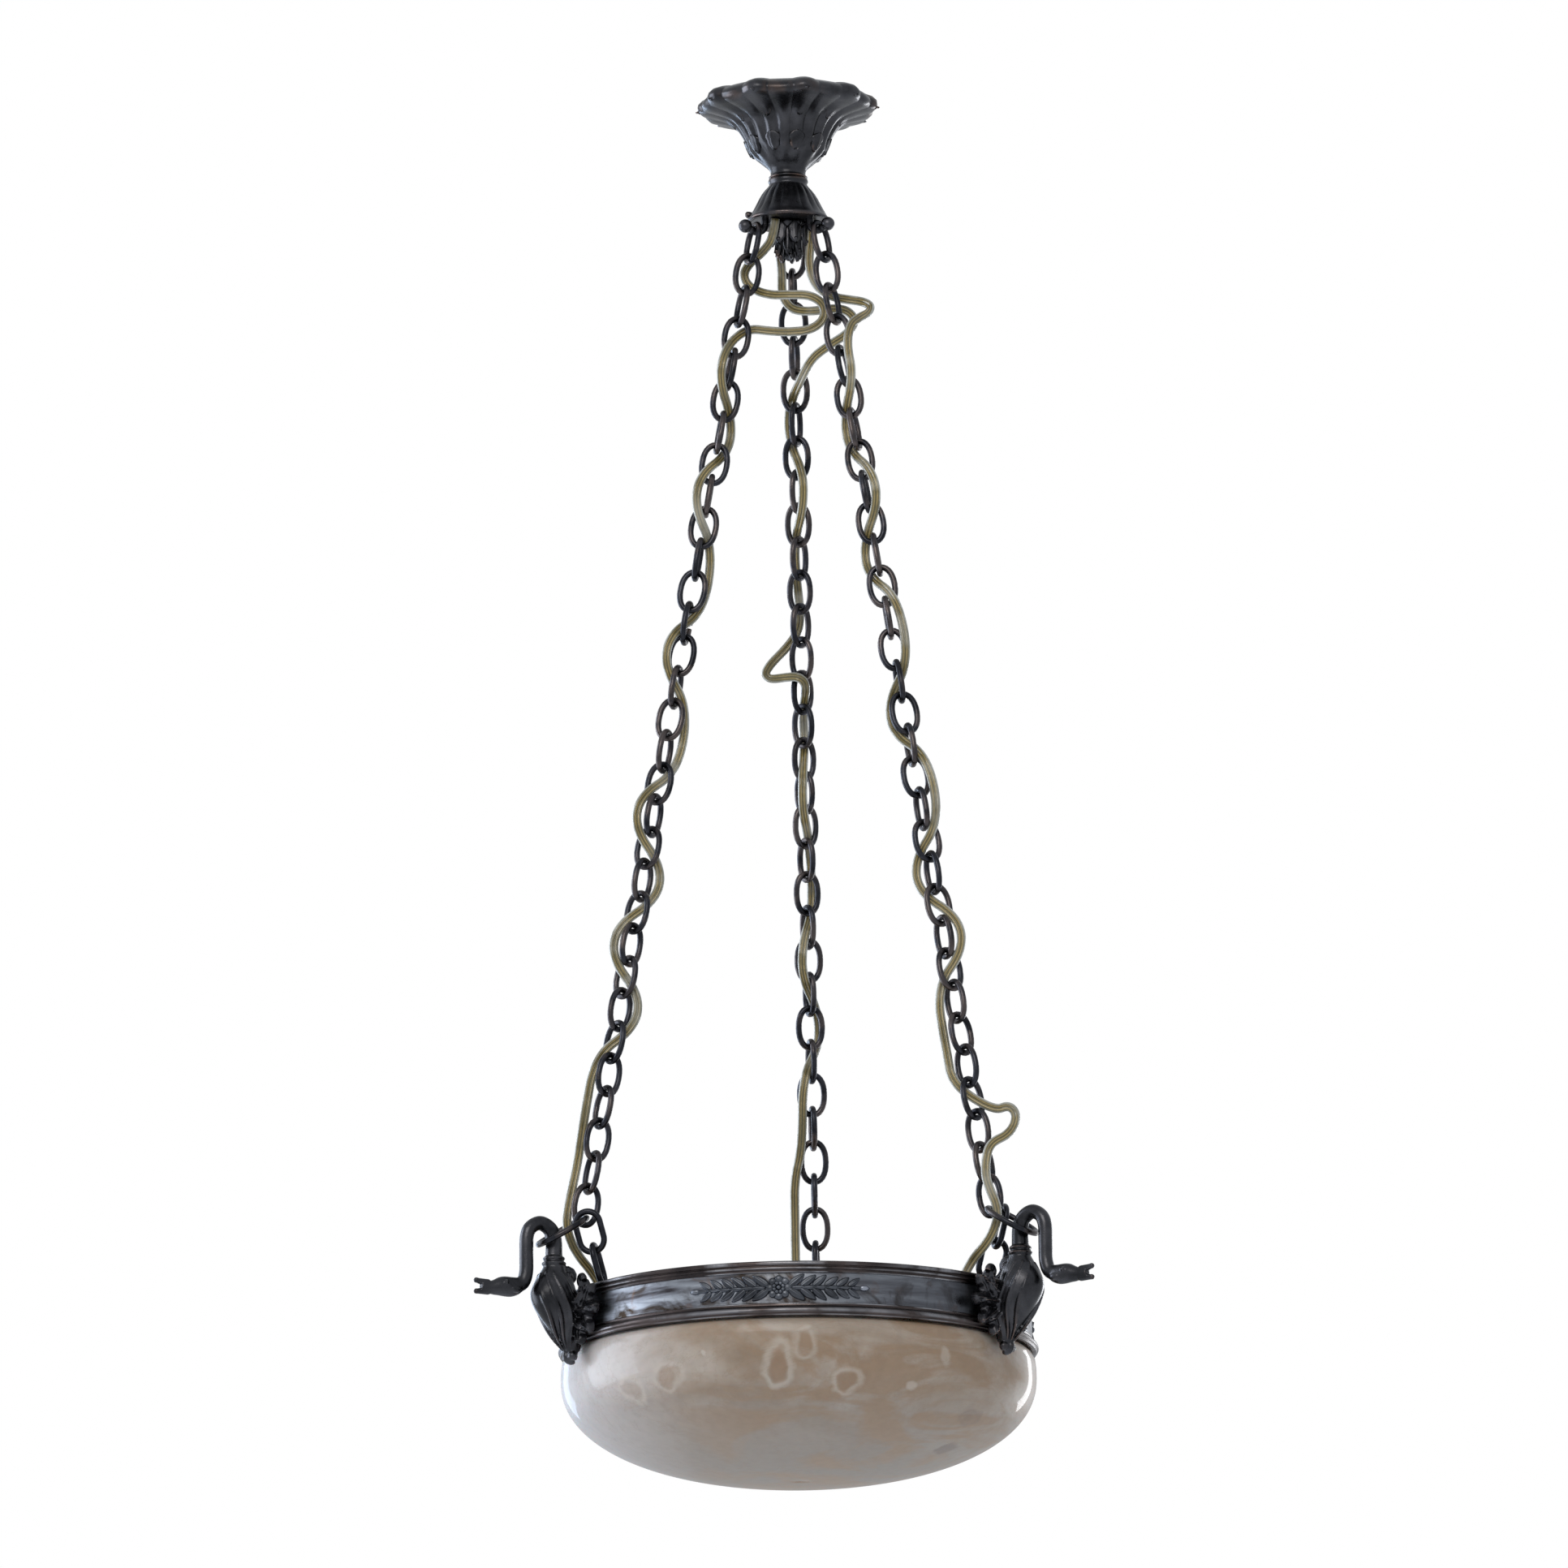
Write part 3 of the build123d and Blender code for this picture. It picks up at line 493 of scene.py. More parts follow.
def frosted_glass(name):
    """Milky glass of uneven gloss."""
    paint = Paint(name, Transmission_Weight=0.6, IOR=1.45, Coat_Weight=0.4)
    colour = paint.ramp(paint.noise(40, 4), [(0.3, (0.86, 0.85, 0.82)), (0.7, (0.95, 0.95, 0.94))])
    rough = paint.ramp(paint.noise(200, 3), [(0.3, 0.3), (0.7, 0.45)])
    return paint.finish(colour, rough)


materials = {
    "dark_bronze": metal("dark_bronze", (0.020, 0.021, 0.025), (0.075, 0.075, 0.085),
                         (0.17, 0.11, 0.085), rough=(0.22, 0.40), coat=0.4),
    "brown_bronze": metal("brown_bronze", (0.030, 0.025, 0.026), (0.10, 0.078, 0.074),
                          (0.50, 0.51, 0.55), scale=30, rough=(0.24, 0.46), coat=0.25),
    "laurel_pewter": metal("laurel_pewter", (0.035, 0.038, 0.045), (0.12, 0.13, 0.15),
                           (0.40, 0.43, 0.50), scale=40, rough=(0.25, 0.45), coat=0.25),
    "worn_silvered_bronze": silvered("worn_silvered_bronze"),
    "dark_iron": metal("dark_iron", (0.015, 0.016, 0.021), (0.05, 0.052, 0.064),
                       (0.16, 0.13, 0.12), scale=60, rough=(0.22, 0.42), coat=0.2),
    "zinc_steel": metal("zinc_steel", (0.35, 0.35, 0.36), (0.52, 0.52, 0.53),
                        (0.7, 0.7, 0.7), rough=(0.25, 0.42)),
    "alabaster": alabaster("alabaster"),
    "gold_cord": cord_plastic("gold_cord"),
    "black_plastic": plastic("black_plastic", (0.012, 0.012, 0.012), (0.03, 0.03, 0.03), 0.35),
    "white_plastic": plastic("white_plastic", (0.70, 0.68, 0.63), (0.80, 0.79, 0.75), 0.35),
    "bulb_metal": metal("bulb_metal", (0.55, 0.50, 0.42), (0.72, 0.68, 0.6),
                        (0.85, 0.8, 0.7), rough=(0.2, 0.35)),
    "bulb_glass": frosted_glass("bulb_glass"),
}


def dress_cad_nodes():
    """Every carried-over CAD node takes the detailed material of its slot."""
    for entry in frame["record"]["subparts"]:
        mesh = frame["nodes"][entry["node"]].data
        mesh.materials.clear()
        mesh.materials.append(materials[entry["material_slot"]])


dress_cad_nodes()


# -------------------------------------------------------------------- chains
# Half sizes of a link, along and across, to the middle of its wire, and the wire's radius.
link_half, link_side, link_wire = 13.25, 8.1, 2.0
link_pitch, first_link, link_count = 22.2, 14.95, 31
twist_step = 90.0 / (link_count - 1)
hook_reach, hook_z = 23.5, -93.0
ring_reach, ring_end_z = 152.5, -770.732
opened_link, opened_gap = 12, 3.0
weave_offset = 11.3
chain_along = Vector((ring_reach - hook_reach, 0, ring_end_z - hook_z)).normalized()


def oval(half_length, half_width, wire, points=30, opening=0.0, power=2.25):
    """An oval wire link along Z, lying in the XZ plane; opening cuts its -X side."""
    path = []
    for k in range(points + (1 if opening else 0)):
        a = math.pi + 2 * math.pi * k / points
        path.append(Vector((signed_power(math.cos(a), 2 / power) * half_width, 0,
                            signed_power(math.sin(a), 2 / power) * half_length)))
    if opening:
        path[0].z = -opening / 2
        path[-1].z = opening / 2
        return tube(path, wire, 10)
    return tube(path, wire, 10, close=True)


def axes(origin, width, along):
    """The matrix that takes X to width, Z to along and the origin to a place."""
    width = width.normalized()
    side = along.cross(width)
    turn = Matrix((width, side, along)).transposed().to_4x4()
    return Matrix.Translation(origin) @ turn


def chain_place(s, turn):
    """The point at a length s down a chain along +X, and its width direction at a turn."""
    width = Quaternion(chain_along, math.radians(turn)) @ Vector((0, 1, 0))
    return Vector((hook_reach, 0, hook_z)) + chain_along * s, width


def make_chain(name):
    """One chain of separate links, each turned a quarter and a bit on the one above."""
    parts = []
    for i in range(link_count):
        origin, width = chain_place(first_link + i * link_pitch,
                                    i * (90 + twist_step * twist_sign[name]))
        gap = opened_gap if (name == "left" and i == opened_link) else 0.0
        wobble = 1 + rng.uniform(-0.015, 0.015)
        link = oval(link_half, link_side * wobble, link_wire, opening=gap)
        parts.append(moved(link, at_arm(arm_angles[name]) @ axes(origin, width, chain_along)))
    make(f"links_{name}", parts, "dark_iron", f"chain_{name}", f"chain_links_{name}")


# --------------------------------------------------------------------- cords
# The routes' corner points: X, Y, Z in the whole frame for "loop" and "kink",
# the link joint and the side of the chain for "weave", and reach, side and
# height over the band at the arm for "drop".
cord_routes = {
    "left": {
        "loop": [(-7.5, -14.1, -91.4), (-9, -11, -103), (-16, -5, -111), (-26, -1.5, -118),
                 (-30.5, -3.5, -127), (-25.5, -4, -136), (-12, -8, -142), (2, -12.5, -143),
                 (15, -12, -143.5), (24, -10, -149.5), (24, -9.5, -160), (15, -10.5, -167),
                 (1, -10.6, -168), (-12, -8.5, -166.5)],
        "weave": [(3, -1), (4, 1), (5, 1), (6, -1), (7, -1), (8, 1), (9, 1), (10, -1),
                  (12, -1), (13, 1), (14, 1), (15, -1), (17, -1), (18, 1), (19, 1),
                  (20, -1), (21, -1), (22, 1), (23, 1), (24, -1), (25, -1), (26, 1), (28, 1)],
        "drop": [(152.5, -9, 84), (158, -8, 62), (163, -6.5, 41), (156, -7, 24),
                 (141, -9, 10), (131.5, -9.5, -8), (128, -8.8, -30.8)]},
    "right": {
        "loop": [(16, 0.6, -91.4), (14.3, 1, -105), (13, 1, -120), (17, 0.4, -134),
                 (28, -0.8, -142.5), (40, -1.7, -145), (49.5, -3.5, -147), (55, -8, -151.5),
                 (53.5, -14.5, -157.5), (48, -21, -162), (42.5, -28.5, -168)],
        "weave": [(4, -1), (5, -1), (6, 1), (7, 1), (8, -1), (9, -1), (10, 1), (11, 1),
                  (12, -1), (14, -1), (15, 1), (16, 1), (17, -1), (19, -1), (20, 1),
                  (21, 1), (22, -1), (23, -1), (24, 1), (26, 1), (27, 1)],
        "kink": (27, [(133.8, -70, -705.4), (143.7, -70.7, -701.5), (149.2, -74.1, -709.8),
                      (144.4, -78.8, -722.3), (131.8, -84.5, -728.9), (128.8, -86.5, -740.9),
                      (129, -87.5, -754.4)]),
        "drop": [(163, -6.5, 41), (156, -7, 24), (141, -9, 10), (131.5, -9.5, -8),
                 (128, -8.8, -30.8)]},
    "back": {
        "loop": [(-8.5, 13.6, -91.4), (-7.1, 13.5, -106), (-5.9, 16.6, -122), (-6.5, 18.5, -135.5),
                 (0, 17, -146), (13, 13.1, -148.5), (26, 8.2, -148), (37.5, 6, -149.5),
                 (43.5, 8, -156.5), (38, 12.5, -164), (26, 19, -169.5), (13.5, 26, -176)],
        "weave": [(4, -1), (5, 1), (6, 1), (7, -1), (8, -1), (9, 1), (10, 1), (14, 1),
                  (15, 1), (16, -1), (17, -1), (18, 1), (20, 1), (21, -1), (22, -1),
                  (23, 1), (24, 1), (25, -1), (27, -1)],
        "kink": (10, [(-0.5, 83.4, -341.7), (-5.8, 83.4, -355.4), (-25.2, 79, -375.7),
                      (-22.2, 74.4, -383.4), (-8.3, 69.1, -382.8), (-1, 66, -383.7),
                      (3.8, 69.5, -388.1)]),
        "drop": [(134, 12.5, 107), (141, 13, 84), (143, 13, 60), (141, 12.5, 36),
                 (136, 11.5, 14), (130, 9.5, -8), (128, 8.8, -30.8)]},
}
strand_radius = 1.5
# How far the cord's flat side keeps its direction, and how far it turns to the viewer.
cord_steady, cord_turn = 0.8, 0.2


def cord_points(name):
    """The corner points of one cord's route."""
    route = cord_routes[name]
    turn_arm = at_arm(arm_angles[name])
    kink_joint, kink = route.get("kink", (None, []))
    points = [Vector(p) for p in route["loop"]]
    for joint, side in route["weave"]:
        origin, width = chain_place(first_link + (joint - 0.5) * link_pitch,
                                    ((joint - 0.5) * twist_step + 45) * twist_sign[name])
        points.append(turn_arm @ (origin + width * (side * weave_offset)))
        if joint == kink_joint:
            points += [Vector(p) for p in kink]
    for reach, side, height in route["drop"]:
        points.append(turn_arm @ Vector((reach, side, band_top + height)))
    return points


def spline_points(points):
    """Points in metres along the NURBS spline that the route's points control."""
    curve = bpy.data.curves.new("route", "CURVE")
    curve.dimensions = "3D"
    curve.resolution_u = 10
    spline = curve.splines.new("NURBS")
    spline.points.add(len(points) - 1)
    for spot, point in zip(spline.points, points):
        spot.co = (*(point * MM), 1)
    spline.order_u = 3
    spline.use_endpoint_u = True
    carrier = bpy.data.objects.new("route", curve)
    bpy.context.scene.collection.objects.link(carrier)
    bpy.context.view_layer.update()
    graph = bpy.context.evaluated_depsgraph_get()
    mesh = bpy.data.meshes.new_from_object(carrier.evaluated_get(graph))
    result = [v.co.copy() for v in mesh.vertices]
    bpy.data.objects.remove(carrier)
    bpy.data.curves.remove(curve)
    bpy.data.meshes.remove(mesh)
    return result


def twin_section(points=13):
    """Outline of two strands side by side, as (across, up) in strand radii from the middle."""
    angles = [math.radians(-150 + 300 * k / (points - 1)) for k in range(points)]
    right = [(1 + math.cos(a), math.sin(a)) for a in angles]
    return right + [(-x, -y) for x, y in right]


def make_cord(name):
    """A flat twin cord that follows its route's spline."""
    path = spline_points(cord_points(name))
    section = twin_section()
    rows = []
    across_side = None
    for i, here in enumerate(path):
        along = (path[min(i + 1, len(path) - 1)] - path[max(i - 1, 0)]).normalized()
        facing = along.cross(toward_viewer)
        if across_side is None:
            across_side = facing.normalized()
        if facing.dot(across_side) < 0:
            facing = -facing
        across_side = across_side * cord_steady + facing * cord_turn
        across_side = (across_side - along * across_side.dot(along)).normalized()
        up = along.cross(across_side)
        rows.append([here / MM + (across_side * x + up * y) * strand_radius for x, y in section])
    piece = make(f"flat_cord_{name}", [skin(rows)], "gold_cord", f"chain_{name}",
                 f"cord_{name}")
    place = piece.data.attributes.new("across", "FLOAT", "POINT")
    for k, value in enumerate(place.data):
        value.value = min(1.0, abs(section[k % len(section)][0]) / 2)
    tuple(path[0])
    [tuple(p) for p in path]


for arm in arm_angles:
    make_cord(arm)
    make_chain(arm)


# ---------------------------------------------------------------- neck rings
neck_ring_outer, neck_ring_seat, neck_ring_half_width = 183.0, 26.0, 15.0


def make_neck_rings():
    """The oval ring round each swan's neck, down to the chain's last link."""
    for name, angle in arm_angles.items():
        outer_end = Vector((neck_ring_outer, 0, band_top + neck_ring_seat))
        inner_end = Vector((ring_reach, 0, ring_end_z))
        span = inner_end - outer_end
        ring = oval(span.length / 2, neck_ring_half_width, link_wire, 44, power=2.2)
        place = axes((outer_end + inner_end) / 2, Vector((0, 1, 0)), span.normalized())
        make(f"ring_on_neck_{name}", [moved(ring, at_arm(angle) @ place)], "dark_iron",
             "bowl_frame", f"neck_ring_{name}")


make_neck_rings()


# ----------------------------------------------------------- ring of the bowl
ring_inner, band_outer = 149.5, 151.7
face_middle = band_top - 17.2
ring_bottom = band_top - 35.4


def make_mouldings():
    """The two turned mouldings, between the CAD's heights."""
    low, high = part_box("top_moulding")
    t, b = high.z / MM, low.z / MM
    top = [(ring_inner, b), (ring_inner, t - 0.6), (ring_inner + 0.6, t), (153.2, t),
           (154.5, t - 0.5), (155.0, t - 1.6), (154.6, t - 2.6), (153.6, t - 3.0),
           (153.3, t - 3.4), (154.0, t - 3.9), (154.3, t - 4.6), (154.0, t - 5.3),
           (153.0, t - 5.6), (152.6, t - 6.2), (152.9, t - 6.8), (152.4, b)]
    make("top_moulding_turned", [lathe(top, 288)], "brown_bronze", "bowl_frame", "top_moulding")
    low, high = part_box("low_moulding")
    t, b = high.z / MM, low.z / MM
    height = t - b
    base = [(ring_inner, b), (ring_inner, t), (152.4, t), (152.8, t - 0.10 * height),
            (152.3, t - 0.2 * height), (153.4, t - 0.28 * height), (154.6, t - 0.36 * height),
            (155.7, t - 0.5 * height), (156.0, t - 0.64 * height), (155.5, t - 0.76 * height),
            (154.3, t - 0.82 * height), (154.7, t - 0.90 * height), (154.2, t - 0.97 * height),
            (153.0, b)]
    make("low_moulding_turned", [lathe(base, 288)], "brown_bronze", "bowl_frame", "low_moulding")


make_mouldings()


# ----------------------------------------------------------------- garlands
leaf_pairs, first_pair, pair_step = 6, 6.5, 7.6
bud_reach, rosette_radius = 55, 7.4


def on_band(angle, start, rise, turn):
    """A leaf's place on the band's face: start round it and rise up it, turned in the face."""
    ct, st = math.cos(turn), math.sin(turn)

    def place(along, across, lift):
        u = start + along * ct - across * st
        v = rise + along * st + across * ct
        a = math.radians(angle) + u / band_outer
        r = band_outer + lift
        return Vector((r * math.cos(a), r * math.sin(a), face_middle + v))
    return place


def make_garland(name, angle):
    """A rosette with laurel leaves in pairs to each side, each side ending in a bud."""
    parts = []
    for side in (1, -1):
        turned = 0 if side > 0 else math.pi
        for k in range(leaf_pairs):
            start = side * (first_pair + pair_step * k)
            size = 1 - 0.05 * k
            for up in (1, -1):
                lean = turned + side * up * math.radians(37 + rng.uniform(-3, 3))
                parts.append(leaf(on_band(angle, start, up * 0.8, lean), 11.5 * size, 5.8 * size,
                                  lobes=1, cut=0.0, thick=1.0, arch=0.9, rows=12, cols=8))
            parts.append(leaf(on_band(angle, start + side * 2, 0, turned), 9.5 * size, 3.4 * size,
                              lobes=1, cut=0.0, thick=1.6, arch=0.7, rows=10, cols=6))
        bud = on_band(angle, side * bud_reach, 0, 0)
        parts.append(tube([bud(-4, 0, 0.4), bud(-1.5, 0, 0.7), bud(1, 0, 0.7), bud(3.6, 0, 0.5)],
                          [0.7, 1.8, 1.9, 0.5], 10))
    # the rosette: outer and inner petals, a disc under them and a bead in the middle
    petals = 8
    for out, half, thick, lift, shift in ((5.6, 2.5, 1.3, 0.9, 0), (2.9, 1.5, 1.9, 1.2, 0.5)):
        for k in range(petals):
            turn = 2 * math.pi * (k + shift) / petals
            lump = ball((0, 0, 0), (thick, half, half), 9)
            spot = on_band(angle, 0, 0, turn)(out, 0, lift)
            parts.append(moved(lump, Matrix.Translation(spot) @ at_arm(angle)))
    middle = on_band(angle, 0, 0, 0)
    parts.append(tube([middle(0, 0, -0.6), middle(0, 0, 0.8)], rosette_radius, 40))
    parts.append(ball(middle(0, 0, 2.0), 1.5, 8))
    make(f"laurel_{name}", parts, "worn_silvered_bronze", "bowl_frame", f"garland_{name}",
         material="laurel_pewter")


for spray, spray_angle in garland_angles.items():
    make_garland(spray, spray_angle)


# --------------------------------------------------------------------- swans
swan_reach, wing_radius = 174.0, 157.0


def oval_loft(sections, sides, steps=5):
    """A body through level ovals: (height over band, reach, half depth, half width)."""
    spots = smooth_path([(z, x, depth) for z, x, depth, _ in sections], steps)
    widths = smooth_path([(width, 0, 0) for *_, width in sections], steps)
    return skin([[(spot.y + spot.z * math.cos(a), width.x * math.sin(a), band_top + spot.x)
                  for a in circle(sides)] for spot, width in zip(spots, widths)])


def on_wing(start, rise, turn):
    """A wing leaf's place on the ring: start round it and rise up it, turned in the face."""
    ct, st = math.cos(turn), math.sin(turn)

    def place(along, across, lift):
        u = start + along * ct - across * st
        v = rise + along * st + across * ct
        a = u / wing_radius
        r = wing_radius + lift
        return Vector((r * math.cos(a), r * math.sin(a), band_top + v))
    return place


def swan_parts():
    """A swan at an arm along +X: hooked neck, head, folded body, wings, scroll and foot."""
    top = band_top
    parts = [oval_loft([(18, 174, 5.6, 5.6), (12, 174, 6.8, 6.8), (7, 174.2, 9.4, 8.6),
                        (1, 174, 13.2, 11.0), (-6, 174.4, 15.4, 12.6), (-13, 173, 15.4, 13.2),
                        (-20, 170.6, 13.4, 12.8), (-27, 168.0, 10.4, 11.0), (-34, 165.0, 7.8, 8.6),
                        (-40, 162.8, 5.4, 6.4), (-46, 161.9, 3.8, 4.8)], 56)]
    # ribs of a long leaf that wind from the breast down to the foot
    ribs, rib_steps, rib_sweep, rib_radius = 12, 16, 34, 1.5
    for rib in range(ribs):
        start = 360 / ribs * rib + 8
        sweep = rib_sweep if start < 180 else -rib_sweep
        ridge, thickness = [], []
        for k in range(rib_steps + 1):
            t = k / rib_steps
            half = 5.6 + 9.3 * math.sin(math.pi * min(1, 0.14 + 0.88 * t)) ** 0.85
            turn = math.radians(start + sweep * math.sin(math.pi * t))
            centre = 174.2 - 12 * max(0, t - 0.35) / 0.65
            ridge.append(Vector((centre + half * math.cos(turn), 0.86 * half * math.sin(turn),
                                 top + 7 - 50 * t)))
            thickness.append(rib_radius * (0.3 + 0.7 * math.sin(math.pi * t)))
        parts.append(tube(ridge, thickness, 10))
    neck = smooth_path([(174, 0, 8), (174, 0, 20), (174.1, 0, 29.5), (176.8, 0, 36.2),
                        (183.5, 0, 39.6), (190.2, 0, 36.4), (193.1, 0, 29.8), (193.4, 0, 17),
                        (193.7, 0, 6.5), (196.4, 0, -0.6), (203, 0, -3.2)], 7)
    stem_radius, neck_taper = 5.8, 1.2
    radii = [stem_radius - neck_taper * min(1, i / (0.45 * len(neck))) for i in range(len(neck))]
    parts.append(tube([p + Vector((0, 0, top)) for p in neck], radii, 20))
    # head: brow, cheeks and an open bill with a small ball on each tip
    head = [(195, 4.4, -0.4), (199, 5.6, -2.6), (204, 6.5, -3.6), (209, 6.6, -3.6),
            (213, 6.0, -3.8), (216.5, 5.0, -4.6), (220, 4.1, -5.0), (223, 3.7, -5.1),
            (225.5, 3.5, -4.9)]
    rows = []
    for reach, half, height in smooth_path(head, 3):
        rows.append([(reach, 0.8 * half * math.sin(a), top + height + half * math.cos(a))
                     for a in circle(20)])
    parts.append(skin(rows))
    for rise, tip in ((-2.2, -0.8), (-7.4, -8.0)):
        bill = [Vector((220, 0, top + rise)), Vector((223.5, 0, top + (rise * 2 + tip) / 3)),
                Vector((226.6, 0, top + (rise + tip * 2) / 3)), Vector((228.6, 0, top + tip))]
        parts.append(tube(bill, [2.6, 2.3, 2.0, 1.7], 12))
        parts.append(ball((228.8, 0, top + tip), 1.9, 8))
    for side in (1, -1):
        parts.append(ball((209.5, side * 5.0, top - 1.4), 1.4, 8))
        parts.append(ball((203, side * 4.4, top - 5.6), (4.0, 1.7, 2.4), 8))
    # collars round the stem
    for height, radius in ((13.5, 6.9), (16.8, 6.2)):
        ring = [Vector((swan_reach + radius * math.cos(a), radius * math.sin(a), top + height))
                for a in circle(28)]
        parts.append(tube(ring, 1.15, 10, close=True))
    # the scroll behind the neck that comes down on the ring
    spiral = []
    for k in range(14):
        radius, turn = 4.6 * (1 - 0.16 * k / 4), 0.6 * k + 0.4
        spiral.append(Vector((164.2 + radius * math.cos(turn), 0,
                              top + 5.8 + radius * math.sin(turn))))
    parts.append(tube(spiral, [3.2 - 0.11 * k for k in range(14)], 12))
    parts.append(ball((164.4, 0, top + 5.6), (3.0, 6.2, 3.0), 10))
    for side in (1, -1):
        curl = []
        for k in range(15):
            radius, turn = 4.2 - 0.22 * k, 0.55 * k
            curl.append(Vector((161.5, side * (15 + radius * math.cos(turn)),
                                top + 0.6 + radius * math.sin(turn))))
        parts.append(tube(curl, [2.3 - 0.07 * k for k in range(15)], 10))
    # the pad that is bolted to the band
    pad_half, roundness = 8, 0.6
    parts.append(skin([[(reach, pad_half * signed_power(math.cos(a), roundness),
                         face_middle + pad_half * signed_power(math.sin(a), roundness))
                        for a in circle(24)] for reach in (151.9, 156, 164, 170)]))
    # foot: a curl under the ring that ends in balls
    foot_z = top - 46
    curl = [Vector((162.6 + 3.4 * math.cos(turn), 0, foot_z + 3.2 * math.sin(turn)))
            for turn in (0.55 * k - 2.2 for k in range(12))]
    parts.append(tube(curl, [2.9 - 0.12 * k for k in range(12)], 12))
    for side in (1, 0, -1):
        parts.append(ball((163.2, side * 4.2, foot_z - 0.6), 3.1, 9))
    # wings: a fan of broad leaves on the band at each side, with narrow ones over them
    for side in (1, -1):
        for turn, length, width, rise, start in (
                (66, 15, 11, -13, 10), (32, 19, 13, -14, 8), (-2, 20, 14, -17, 8),
                (-36, 20, 14, -20, 6), (-66, 17, 11, -23, 4)):
            angle = math.radians(turn if side > 0 else 180 - turn)
            parts.append(leaf(on_wing(side * start, rise, angle), length, width, lobes=3,
                              cut=0.3, thick=3.2, arch=2.4, curl=1.6, rows=26, cols=10))
        for turn, length, rise, start in ((40, 13, -16, 8), (0, 14, -19, 8), (-42, 13, -22, 6)):
            angle = math.radians(turn if side > 0 else 180 - turn)
            parts.append(leaf(on_wing(side * start, rise, angle), length, 8, lobes=2,
                              cut=0.25, thick=6.5, arch=2.0, curl=0.5, rows=20, cols=8))
    return parts


def make_swans():
    """Three casts of one swan, each fused into one skin."""
    parts = swan_parts()
    for name, angle in arm_angles.items():
        turned = [moved(part, at_arm(angle)) for part in parts]
        make(f"swan_cast_{name}", turned, "dark_bronze", "bowl_frame", f"swan_{name}",
             remesh=0.6, smoothing=3)


make_swans()


# --------------------------------------------------------------------- bowl
def make_bowl():
    """The stone bowl: the CAD's superellipse, finely turned, with its lip and neck."""
    radius, wall, power = 154.4, 9.0, 2.2
    pole_radius, steps = 0.4, 40
    belly_drop = 16
    belly = ring_bottom - belly_drop
    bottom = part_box("alabaster_bowl")[0].z / MM
    depth = belly - bottom
    outer = []
    for k in range(steps + 1):
        a = math.pi / 2 * k / steps
        outer.append((radius * math.sin(a) ** (2 / power),
                      belly - depth * math.cos(a) ** (2 / power)))
    outer[0] = (pole_radius, bottom)
    # the wall's thickness goes upward at the bottom and inward at the side
    inner = [(max(pole_radius, r - wall * (r / radius) ** 1.5),
              z + wall * math.sqrt(max(0.02, 1 - (r / radius) ** 4)))
             for r, z in outer]
    lip, lip_outer, lip_inner = band_top - 3, 149.0, 140.0
    shoulder = [(154.3, belly + 6), (153.6, belly + 11), (152.2, ring_bottom - 2.2),
                (150.2, ring_bottom - 0.5), (lip_outer, ring_bottom - 0.3)]
    neck = [(lip_outer, band_top - 20), (lip_outer, lip), (lip_inner, lip), (lip_inner, belly + 8)]
    inner_part = [(r, z) for r, z in inner if z < belly - 2 and r < lip_inner - 2]
    profile = outer + shoulder + neck + inner_part[::-1]
    make("stone_bowl", [lathe(profile, 256)], "alabaster", "bowl_frame", "alabaster_bowl")


make_bowl()


